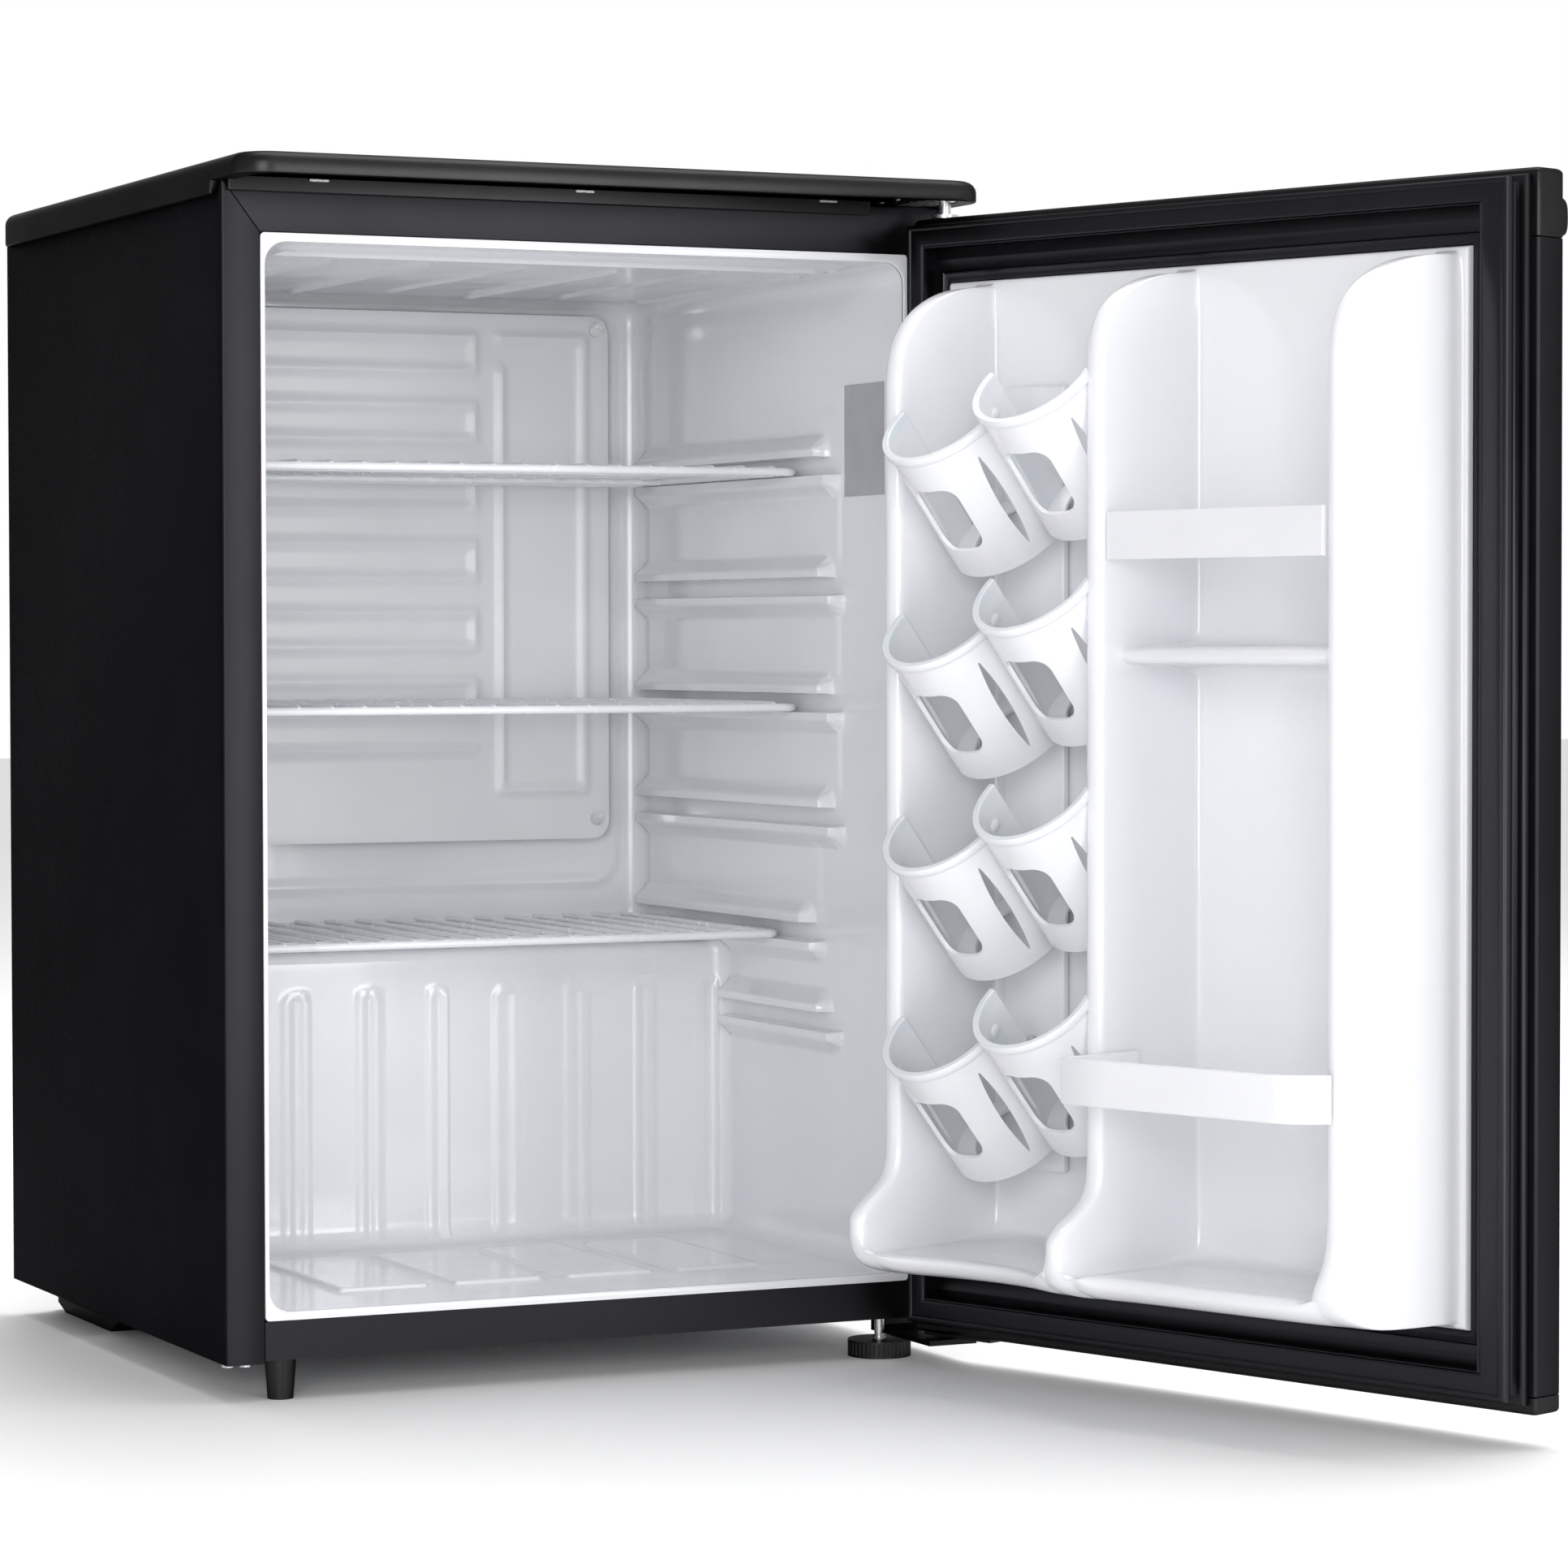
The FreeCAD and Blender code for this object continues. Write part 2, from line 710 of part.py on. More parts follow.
def make_controls():
    """The thermostat housing with its knob, and the power inlet's gland, at the back."""
    back = size("cabinet_depth") + 0.1
    housing = Part.makeBox(74, 16, size("niche_top") - 0.2 - 140, Vector(118, back - 20, 140))
    housing = housing.makeFillet(5, [edge for edge in housing.Edges if along(edge, Y_AXIS)])
    spindle_hole = Part.makeCylinder(3.3, 40, Vector(155, back - 30, 166), Y_AXIS)
    keep(feature("thermostat_housing", housing.cut(spindle_hole)), "thermostat_housing")

    face = back - 3.7
    dial = Part.makeCylinder(17, 8, Vector(155, face, 166), Y_AXIS)
    dial = dial.makeFillet(1.5, [edge for edge in dial.Edges if middle(edge).y > face + 7])
    spindle = Part.makeCylinder(3.25, 14, Vector(155, face - 13, 166), Y_AXIS)
    pointer = Part.makeBox(3, 1.2, 12, Vector(153.5, face + 7.6, 169))
    keep(feature("thermostat_knob", dial.fuse([spindle, pointer])), "thermostat_knob")

    bracket = Part.makeBox(40, 3, 85.8, Vector(-196, back - 8, 10.2))
    hole = Part.makeCylinder(7, 10, Vector(-176, back - 12, 78), Y_AXIS)
    keep(feature("inlet_bracket", bracket.cut(hole)), "inlet_bracket")
    gland = Part.makeCylinder(6.9, 12, Vector(-176, back - 12, 78), Y_AXIS)
    flange = Part.makeCylinder(10, 2.4, Vector(-176, back - 4.9, 78), Y_AXIS)
    bore = Part.makeCylinder(3.6, 40, Vector(-176, back - 30, 78), Y_AXIS)
    keep(feature("inlet_gland", gland.fuse(flange).cut(bore)), "inlet_gland")


# ---------------------------------------------------------------------------------------------
# Hinges and feet
# ---------------------------------------------------------------------------------------------
def make_hinges():
    """Top and bottom hinge brackets with their pins, the washer and the bracket screws."""
    x, y = size("hinge_line_x"), size("hinge_line_y")
    radius = size("pin_radius")
    top = size("cabinet_top")
    door_high = size("door_high")

    arm = Part.makeBox(24, 92, 2.5, Vector(x - 16, y - 7.5, top + 0.1))
    pin = Part.makeCylinder(radius, top + 1 - (door_high - 14), Vector(x, y, door_high - 14))
    keep(feature("top_hinge", arm.fuse(pin).removeSplitter()), "top_hinge")

    left, width, steel = 188.5, 30.5, 3.0
    arm_low, joggle, seat = 12.0, 27.0, 19.3
    arm = Part.makeBox(width, joggle + 46 + steel, steel, Vector(left, -46, arm_low))
    web = Part.makeBox(width, steel, seat + steel - arm_low, Vector(left, joggle, arm_low))
    base = Part.makeBox(width, 46, steel, Vector(left, joggle, seat))
    pin_top = size("bottom_cap_high") - 0.8
    pin = Part.makeCylinder(radius, pin_top - arm_low - 1, Vector(x, y, arm_low + 1))
    keep(feature("bottom_hinge", arm.fuse([web, base, pin]).removeSplitter()), "bottom_hinge")

    washer = Part.makeCylinder(8, 2, Vector(x, y, door_high + 0.3))
    bore = Part.makeCylinder(radius + 0.05, 10, Vector(x, y, door_high - 4))
    keep(feature("hinge_washer", washer.cut(bore)), "hinge_washer")

    heads = [Part.makeCylinder(4.5, 2.8, Vector(x - 4, y_head, top + 2.7)) for y_head in (20, 42)]
    heads += [Part.makeCylinder(5, 3, Vector(204, y_head, seat - 3.1)) for y_head in (42, 62)]
    keep(feature("hinge_screws", Part.makeCompound(heads)), "hinge_screws")


def make_front_feet():
    """The fixed front-left foot and the screw foot at the front right."""
    foot = Part.makeCone(7.2, 8.8, 22.2, Vector(-185.3, 11, 0))
    keep(feature("fixed_foot", foot), "fixed_foot")

    foot_x, foot_y = 184.5, 11.0
    disc = Part.makeCylinder(18.5, 9.6, Vector(foot_x, foot_y, 0))
    grooves = [
        Part.makeCylinder(
            0.8,
            7,
            Vector(
                foot_x + 18.9 * math.cos(math.radians(angle)),
                foot_y + 18.9 * math.sin(math.radians(angle)),
                1.3,
            ),
        )
        for angle in range(0, 360, 9)
    ]
    socket = Part.makeCylinder(3, 20, Vector(foot_x, foot_y, 3))
    keep(feature("levelling_disc", disc.cut(grooves + [socket])), "levelling_disc")
    stud = Part.makeCylinder(2.9, 19, Vector(foot_x, foot_y, 3.2))
    collar = Part.makeCylinder(4, 1.6, Vector(foot_x, foot_y, 9.6))
    keep(feature("levelling_stud", stud.fuse(collar)), "levelling_stud")

    bolt = Part.makeCylinder(3.6, 2.2, Vector(-205, 12, 18.6))
    second = Part.makeCylinder(3.6, 2.2, Vector(-214.5, 14, 18.6))
    keep(feature("flange_bolts", Part.makeCompound([bolt, second])), "flange_bolts")


# ---------------------------------------------------------------------------------------------
# Shelves and fittings inside
# ---------------------------------------------------------------------------------------------
SHELVES = (("upper_shelf", 517.0, 127.0), ("middle_shelf", 375.0, 127.0), ("lower_shelf", 236.5, 154.0))


def make_shelf(node, base, front):
    """One coated wire shelf: a frame, two cross wires and the grid laid on them."""
    half = size("shelf_half") - size("frame_wire")
    back = size("shelf_back")
    thick = size("frame_wire")
    centre = base + thick
    corners = [(-half, front), (half, front), (half, back), (-half, back), (-half, front)]
    solids = [tube([Vector(x, y, centre) for x, y in corners], thick)]
    solids.append(Part.makeSphere(thick, Vector(-half, front, centre)))
    for y in (front + 30, back - 34):
        solids.append(Part.makeCylinder(2, 2 * half, Vector(-half, y, centre - 0.4), X_AXIS))
    wire = size("grid_wire")
    pitch = size("grid_pitch")
    count = int(2 * half // pitch)
    first = -pitch * (count - 1) / 2
    for number in range(count):
        x = first + number * pitch
        solids.append(Part.makeCylinder(wire, back - front, Vector(x, front, centre + 2.4), Y_AXIS))
    keep(feature(node, solids[0].fuse(solids[1:])), node)


def make_information_plate():
    """A blank grey plate on the right-hand wall, near the front."""
    wall = size("liner_half") - 0.1
    keep(feature("wall_plate", Part.makeBox(0.6, 52, 66, Vector(wall - 0.6, 24, 503.5))), "wall_plate")


# ---------------------------------------------------------------------------------------------
# Door
# ---------------------------------------------------------------------------------------------
def door_section(low, high, shrink=0.0, proud=0.0):
    """The door's outer body between two heights: flat at the back, crowned at the front."""
    near = -size("door_hinge_side") + shrink
    far = size("door_free_side") - shrink
    rear = size("door_rear") - shrink
    front = -size("door_front") + shrink - proud
    crown = front - size("door_crown")
    middle_across = (near + far) / 2
    back_left = door_point(far, rear, low)
    back_right = door_point(near, rear, low)
    front_left = door_point(far, front, low)
    front_right = door_point(near, front, low)
    arc = Part.Arc(front_left, door_point(middle_across, crown, low), front_right).toShape()
    wire = Part.Wire(
        [
            Part.makeLine(back_right, back_left),
            Part.makeLine(back_left, front_left),
            arc,
            Part.makeLine(front_right, back_right),
        ]
    )
    return Part.Face(wire).extrude(Vector(0, 0, high - low))


def make_door_skin():
    """The steel skin: crowned front, two sides and a folded-in edge round the back."""
    low, high = size("bottom_cap_high"), size("top_cap_low")
    steel = size("steel")
    skin = door_section(low, high).cut(door_section(low - 1, high + 1, steel))
    window = Part.makeBox(
        size("door_hinge_side") + size("door_free_side") - 18,
        6,
        high - low + 2,
        door_point(size("door_free_side") - 9, size("door_rear") - 3, low - 1),
    )
    keep(on_door(feature("door_skin", skin.cut(window))), "door_skin")


def make_door_caps():
    """The moulded top cap, which carries the pull lip, and the bottom cap."""
    pin_hole = Part.makeCylinder(size("pin_radius") + 0.06, 800, Vector(0, 0, -50))
    low, high = size("top_cap_low"), size("door_high")
    cap = door_section(low + 0.2, high)
    hollow = door_section(low - 1, high - 2.6, 2.4)
    boss = Part.makeCylinder(8, high - low - 2, Vector(0, 0, low + 1))
    lip = door_section(low + 1.5, low + 20, proud=4.5)
    rim = [edge for edge in lip.Edges if middle(edge).y < -12 and not along(edge, Z_AXIS)]
    lip = lip.makeFillet(3.5, rim).cut(door_section(low - 1, high + 1, 1.0))
    shape = cap.cut(hollow).fuse([boss, lip]).cut(pin_hole).removeSplitter()
    keep(on_door(feature("door_top_cap", shape)), "door_top_cap")

    low, high = size("door_low"), size("bottom_cap_high")
    cap = door_section(low, high - 0.2)
    hollow = door_section(low + 2.6, high + 1, 2.4)
    boss = Part.makeCylinder(8, high - low - 0.4, Vector(0, 0, low))
    keep(on_door(feature("door_bottom_cap", cap.cut(hollow).fuse(boss).cut(pin_hole))), "door_bottom_cap")

    stop = Part.makeBox(52, 15, 2, door_point(42, -7.5, low - 2.1))
    keep(on_door(feature("door_stop", stop.cut(pin_hole))), "door_stop")


def make_door_foam():
    """The foam slab between skin and liner."""
    shrink = size("steel") + 0.5
    low, high = size("bottom_cap_high") + 1, size("top_cap_low") - 1
    slab = door_section(low, high, shrink)
    raised = Part.makeBox(364, 8, 558, door_point(388, size("door_rear") - 2, 61))
    keep(on_door(feature("door_foam", slab.fuse(raised).removeSplitter())), "door_foam")


def dyke_profile(depth, foot, top_start, base=63.0):
    """The side outline of a wall that stands on the door liner: (deep, high) points."""
    root = size("flange_face") - 1.0
    points = [(root, base), (foot - 3, base + 4), (foot, base + 8)]
    if foot > depth:
        points += [(foot, base + 32), (foot - 3, base + 42), (depth + 3, base + 54), (depth, base + 64)]
    reach = depth - root
    drop = size("flange_high") - 4 - top_start
    for step in range(9):
        angle = math.radians(90 * step / 8)
        points.append((root + reach * math.cos(angle) ** 0.8, top_start + drop * math.sin(angle) ** 1.25))
    return points


def make_door_liner():
    """The white moulded inner door: flange, three upright dykes, the floor and the bottle shelf."""
    face = size("flange_face")
    near, far = size("flange_near"), size("flange_far")
    low, high = size("flange_low"), size("flange_high")
    sheet_wall = size("liner_wall")
    pieces = [Part.makeBox(far - near, sheet_wall, high - low, door_point(far, face - sheet_wall, low))]
    foot = size("foot_depth")
    dyke = size("dyke_depth")
    free = size("free_dyke_depth")
    walls = (
        ("hinge_dyke_near", "hinge_dyke_far", dyke, foot),
        ("divider_near", "divider_far", dyke, foot),
        ("free_dyke_near", "free_dyke_far", free, free),
    )
    for start, end, depth, reach in walls:
        pieces.append(prism_across(dyke_profile(depth, reach, 560.0), size(start), size(end)))
    floor = size("bay_floor")
    bottom = [(face - 1, 63), (foot - 3, 67), (foot, 71), (foot, floor + 4), (foot - 3, floor + 4)]
    bottom += [(foot - 6, floor), (face - 1, floor)]
    pieces.append(prism_across(bottom, size("hinge_dyke_far") - 1, size("divider_near") + 1))
    left, right = size("divider_far") - 1, size("free_dyke_near") + 1
    base = 64.0
    plan = [(left, face - 1), (left, foot), (right, free), (right, face - 1)]
    wire = Part.makePolygon([door_point(across, deep, base) for across, deep in plan + plan[:1]])
    pieces.append(Part.Face(wire).extrude(Vector(0, 0, floor - base)))
    shelf_low, shelf_high = size("bay_shelf_low"), size("bay_shelf_high")
    plan = [(left, face - 1), (left, dyke - 20), (left + 22, dyke - 9), (right, free - 2), (right, face - 1)]
    wire = Part.makePolygon([door_point(across, deep, shelf_low) for across, deep in plan + plan[:1]])
    pieces.append(Part.Face(wire).extrude(Vector(0, 0, shelf_high - shelf_low)))
    keep(on_door(feature("door_liner", pieces[0].fuse(pieces[1:]).removeSplitter())), "door_liner")


def make_gasket():
    """The magnetic door seal: a flat base and the raised bellows that meets the cabinet."""
    start = size("door_rear") + 0.2
    base_face, face = size("gasket_base"), size("gasket_face")

    def ring(outer, inner, front, back):
        """A rectangular frame, (near, far, low, high) outside and inside."""
        blocks = [
            Part.makeBox(far - near, back - front + extra, high - low, door_point(far, front - extra / 2, low))
            for (near, far, low, high), extra in ((outer, 0), (inner, 2))
        ]
        return blocks[0].cut(blocks[1])

    far = size("flange_far") + 0.4
    near = size("flange_near") - 0.4
    low = size("flange_low") - 0.4
    high = size("flange_high") + 0.4
    base = ring((-12.5, 424.5, 23, 656.5), (near, far, low, high), start, base_face + 0.1)
    bellows = ring((-3, 423, 26, 655), (11, 405, 41, 641), base_face, face)
    keep(on_door(feature("door_gasket", base.fuse(bellows).removeSplitter())), "door_gasket")


def can_axis():
    """The direction from a can's base to its lid: up and away from the door."""
    tilt = math.radians(size("can_tilt"))
    return Vector(0, math.sin(tilt), math.cos(tilt))


def can_lids():
    """The centre of the lid of each of the eight cans that the dispenser holds."""
    columns = (("near_column", "near_column_top"), ("far_column", "far_column_top"))
    return [
        door_point(size(across), size("can_lid_depth"), size(top) - row * size("can_pitch"))
        for across, top in columns
        for row in range(4)
    ]


def make_can_rack():
    """The white can dispenser: eight tilted half cups on two back straps, each cup with a window."""
    axis = can_axis()
    radius = size("can_radius") + 0.5
    wall = size("cup_wall")
    length = size("can_length")
    depth = size("cup_length")
    down = Vector(0, math.cos(math.radians(size("can_tilt"))), -math.sin(math.radians(size("can_tilt"))))
    cups = []
    clearances = []
    windows = []
    for lid in can_lids():
        base = lid - axis * (length + 3)
        shell = Part.makeCylinder(radius + wall, depth + 3, base, axis)
        keeper = Part.makeBox(120, 60, 200)
        keeper.Placement = FreeCAD.Placement(
            base - axis * 20 - down * 9 - X_AXIS * 60,
            FreeCAD.Rotation(X_AXIS, down, axis, "XZY"),
        )
        cups += [shell.common(keeper), Part.makeCylinder(radius + wall, 2.6, base, axis)]
        clearances.append(Part.makeCylinder(radius, length + 40, lid - axis * length, axis))
        window = Part.makeBox(31, 40, 46)
        window = window.makeFillet(9, [edge for edge in window.Edges if along(edge, Y_AXIS)])
        window.Placement = FreeCAD.Placement(
            base + axis * 17 + down * 12 - X_AXIS * 15.5,
            FreeCAD.Rotation(X_AXIS, down, axis, "XZY"),
        )
        windows.append(window)
    straps = [
        Part.makeBox(46, 5.4, 440, door_point(size(column) + 23, size("flange_face") + 0.4, size(top) - 450))
        for column, top in (("near_column", "near_column_top"), ("far_column", "far_column_top"))
    ]
    behind = Part.makeBox(400, 40, 700, door_point(300, size("flange_face") + 0.4 - 40, 0))
    rack = cups[0].fuse(cups[1:] + straps)
    bay = Part.makeBox(
        size("divider_near") - size("hinge_dyke_far") - 0.8,
        400,
        800,
        door_point(size("divider_near") - 0.4, 0, 0),
    )
    rack = rack.cut(clearances + windows + [behind]).common(bay).removeSplitter()
    keep(on_door(feature("can_rack", rack)), "can_rack")
    screws = [
        Part.makeCylinder(4, 2.2, door_point(size(column), size("flange_face") + 5.9, high), Y_AXIS)
        for column in ("near_column", "far_column")
        for high in (size("near_column_top") - 42, size("near_column_top") - 378)
    ]
    keep(on_door(feature("rack_screws", Part.makeCompound(screws))), "rack_screws")


def bar_between(points, low, high, thick):
    """A flat upright bar that follows (across, deep) points at a constant thickness."""
    pieces = []
    for (start_across, start_deep), (end_across, end_deep) in zip(points, points[1:]):
        start = door_point(start_across, start_deep, low)
        end = door_point(end_across, end_deep, low)
        side = (end - start).cross(Z_AXIS).normalize() * (thick / 2)
        outline = [start + side, end + side, end - side, start - side, start + side]
        pieces.append(Part.Face(Part.makePolygon(outline)).extrude(Vector(0, 0, high - low)))
    pieces += [
        Part.makeCylinder(thick / 2, high - low, door_point(across, deep, low)) for across, deep in points[1:-1]
    ]
    return pieces[0].fuse(pieces[1:]).removeSplitter() if len(pieces) > 1 else pieces[0]


def make_guards():
    """The flat guard above the bottle shelf and the deeper bail at the bottom."""
    upper = bar_between([(206.8, 91.0), (369.2, 110.0)], 461, 486.5, 3.0)
    keep(on_door(feature("upper_guard", upper)), "upper_guard")
    points = [(208.2, 70), (208.2, 130), (352, 130), (363, 127.5), (371, 121), (374.5, 114.2)]
    lower = bar_between(points, 172.5, 197.5, 3.0)
    keep(on_door(feature("lower_guard", lower)), "lower_guard")


# ---------------------------------------------------------------------------------------------
# Build, check and write
# ---------------------------------------------------------------------------------------------
make_cabinet_shell()
make_front_rail()
make_base_pan()
make_rear_panel()
make_inner_liner()
make_insulation()
make_worktop_cover()
make_cover_clips()
make_evaporator()
make_evaporator_screws()
make_compressor()
make_mounting_plate()
make_rear_feet()
make_compressor_mounts()
make_relay_and_pipes()
make_condenser()
make_controls()
make_hinges()
make_front_feet()
for node, base, front in SHELVES:
    make_shelf(node, base, front)
make_information_plate()
make_door_skin()
make_door_caps()
make_door_foam()
make_door_liner()
make_gasket()
make_can_rack()
make_guards()

doc.recompute()
for item in doc.Objects:
    if "Invalid" in item.State or "Error" in item.State:
        raise RuntimeError(f"{item.Label} failed: {item.State}")
os.makedirs("parts", exist_ok=True)
for obj in parts:
    if obj.Shape.isNull() or not obj.Shape.isValid() or not obj.Shape.Solids:
        raise RuntimeError(f"{obj.Label} has no valid shape")
    obj.Shape.exportStep(f"parts/{obj.Label}.step")
    print(f"{obj.Label}: {len(obj.Shape.Solids)} solid, {obj.Shape.Volume / 1000:.1f} cm3")
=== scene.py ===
"""The looks of the compact refrigerator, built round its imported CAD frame.

Lengths are millimetres in the frame's axes, and Shape.piece turns them into metres. A point on the door is
written (across, deep, high): across from the hinge line to the free edge, deep towards the cabinet's
back when the door is shut, and high above the floor. Lights and the camera are placed in metres.
"""
import json
import math

import bmesh
import bpy
import numpy as np
from mathutils import Matrix, Vector


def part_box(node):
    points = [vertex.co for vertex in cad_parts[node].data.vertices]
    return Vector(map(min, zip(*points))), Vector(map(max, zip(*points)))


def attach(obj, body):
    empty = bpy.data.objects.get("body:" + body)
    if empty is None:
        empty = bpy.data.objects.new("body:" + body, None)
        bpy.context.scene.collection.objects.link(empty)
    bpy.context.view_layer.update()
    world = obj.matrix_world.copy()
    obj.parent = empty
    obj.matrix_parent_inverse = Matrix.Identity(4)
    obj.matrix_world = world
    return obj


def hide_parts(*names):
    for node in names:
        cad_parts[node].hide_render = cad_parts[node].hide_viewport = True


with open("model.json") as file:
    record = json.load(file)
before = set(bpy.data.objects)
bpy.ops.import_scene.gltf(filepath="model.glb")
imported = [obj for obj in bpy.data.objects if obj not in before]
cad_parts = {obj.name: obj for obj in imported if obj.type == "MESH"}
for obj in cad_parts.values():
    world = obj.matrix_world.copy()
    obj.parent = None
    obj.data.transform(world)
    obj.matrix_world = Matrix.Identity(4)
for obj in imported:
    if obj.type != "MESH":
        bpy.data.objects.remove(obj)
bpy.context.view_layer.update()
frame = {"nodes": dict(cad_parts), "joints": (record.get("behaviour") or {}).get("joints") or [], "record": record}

MM = 0.001

# Places worked out from the frame
# --------------------------------
door_joint = next(joint for joint in frame["joints"] if joint["name"] == "door_hinge")
HINGE_X, HINGE_Y = (value / MM for value in door_joint["pos_m"][:2])
DOOR_OPEN = math.radians(-door_joint["range_deg"][0])


def node_box(node):
    """A CAD node's lowest and highest corners, in millimetres."""
    low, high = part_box(node)
    return low / MM, high / MM


def on_door(points):
    """Door points (across, deep, high) as points in the frame, with the door open as at rest."""
    across, deep, high = np.asarray(points, float).reshape(-1, 3).T
    x = HINGE_X - across * math.cos(DOOR_OPEN) - deep * math.sin(DOOR_OPEN)
    y = HINGE_Y - across * math.sin(DOOR_OPEN) + deep * math.cos(DOOR_OPEN)
    return np.column_stack([x, y, high])


# Materials
# ---------
def principled(name):
    """A new material, its node tree and its shader."""
    material = bpy.data.materials.new(name)
    material.use_nodes = True
    tree = material.node_tree
    return material, tree, tree.nodes["Principled BSDF"]


def moulded(
    name,
    colour,
    roughness,
    shade,
    patch,
    grain,
    waves,
    rough_spread,
    metallic=0.0,
    coat=0.0,
    specular=0.5,
    subsurface=0.0,
    edge_tint=1.0,
):
    """A procedural finish: slow colour and roughness drift, fine grain and broad surface waves.

    shade is the share by which the colour drifts, in patches of the scale given. grain and waves are
    (scale per metre, bump depth in millimetres).
    """
    material, tree, shader = principled(name)
    nodes, links = tree.nodes, tree.links
    place = nodes.new("ShaderNodeTexCoord").outputs["Object"]

    def noise(scale, detail=3.0):
        texture = nodes.new("ShaderNodeTexNoise")
        texture.inputs["Scale"].default_value = scale
        texture.inputs["Detail"].default_value = detail
        links.new(place, texture.inputs["Vector"])
        return texture.outputs["Fac"]

    ramp = nodes.new("ShaderNodeValToRGB")
    ramp.color_ramp.elements[0].position = 0.3
    ramp.color_ramp.elements[1].position = 0.7
    ramp.color_ramp.elements[0].color = [value * (1 - shade) for value in colour] + [1]
    ramp.color_ramp.elements[1].color = [min(1, value * (1 + shade)) for value in colour] + [1]
    links.new(noise(patch), ramp.inputs["Fac"])
    links.new(ramp.outputs["Color"], shader.inputs["Base Color"])

    spread = nodes.new("ShaderNodeMapRange")
    spread.inputs["To Min"].default_value = max(0.02, roughness - rough_spread)
    spread.inputs["To Max"].default_value = roughness + rough_spread
    links.new(noise(patch * 4, 5.0), spread.inputs["Value"])
    links.new(spread.outputs["Result"], shader.inputs["Roughness"])

    normal = None
    for scale, depth in (waves, grain):
        if not depth:
            continue
        bump = nodes.new("ShaderNodeBump")
        bump.inputs["Distance"].default_value = depth * MM
        links.new(noise(scale, 2.0), bump.inputs["Height"])
        if normal:
            links.new(normal, bump.inputs["Normal"])
        normal = bump.outputs["Normal"]
    if normal:
        links.new(normal, shader.inputs["Normal"])
    shader.inputs["Metallic"].default_value = metallic
    shader.inputs["Coat Weight"].default_value = coat
    shader.inputs["Specular IOR Level"].default_value = specular
    shader.inputs["Specular Tint"].default_value = (edge_tint, edge_tint, edge_tint, 1)
    shader.inputs["Subsurface Weight"].default_value = subsurface
    shader.inputs["Subsurface Scale"].default_value = 3 * MM
    return material


def spangled(name, colour, roughness):
    """Zinc-coated sheet: angular crystal patches that differ a little in shade and roughness."""
    material, tree, shader = principled(name)
    nodes, links = tree.nodes, tree.links
    place = nodes.new("ShaderNodeTexCoord").outputs["Object"]
    cells = nodes.new("ShaderNodeTexVoronoi")
    cells.inputs["Scale"].default_value = 160
    links.new(place, cells.inputs["Vector"])
    ramp = nodes.new("ShaderNodeValToRGB")
    ramp.color_ramp.elements[0].color = [value * 0.8 for value in colour] + [1]
    ramp.color_ramp.elements[1].color = [min(1, value * 1.15) for value in colour] + [1]
    links.new(cells.outputs["Color"], ramp.inputs["Fac"])
    links.new(ramp.outputs["Color"], shader.inputs["Base Color"])
    spread = nodes.new("ShaderNodeMapRange")
    spread.inputs["To Min"].default_value = roughness - 0.1
    spread.inputs["To Max"].default_value = roughness + 0.1
    links.new(cells.outputs["Color"], spread.inputs["Value"])
    links.new(spread.outputs["Result"], shader.inputs["Roughness"])
    shader.inputs["Metallic"].default_value = 1.0
    return material


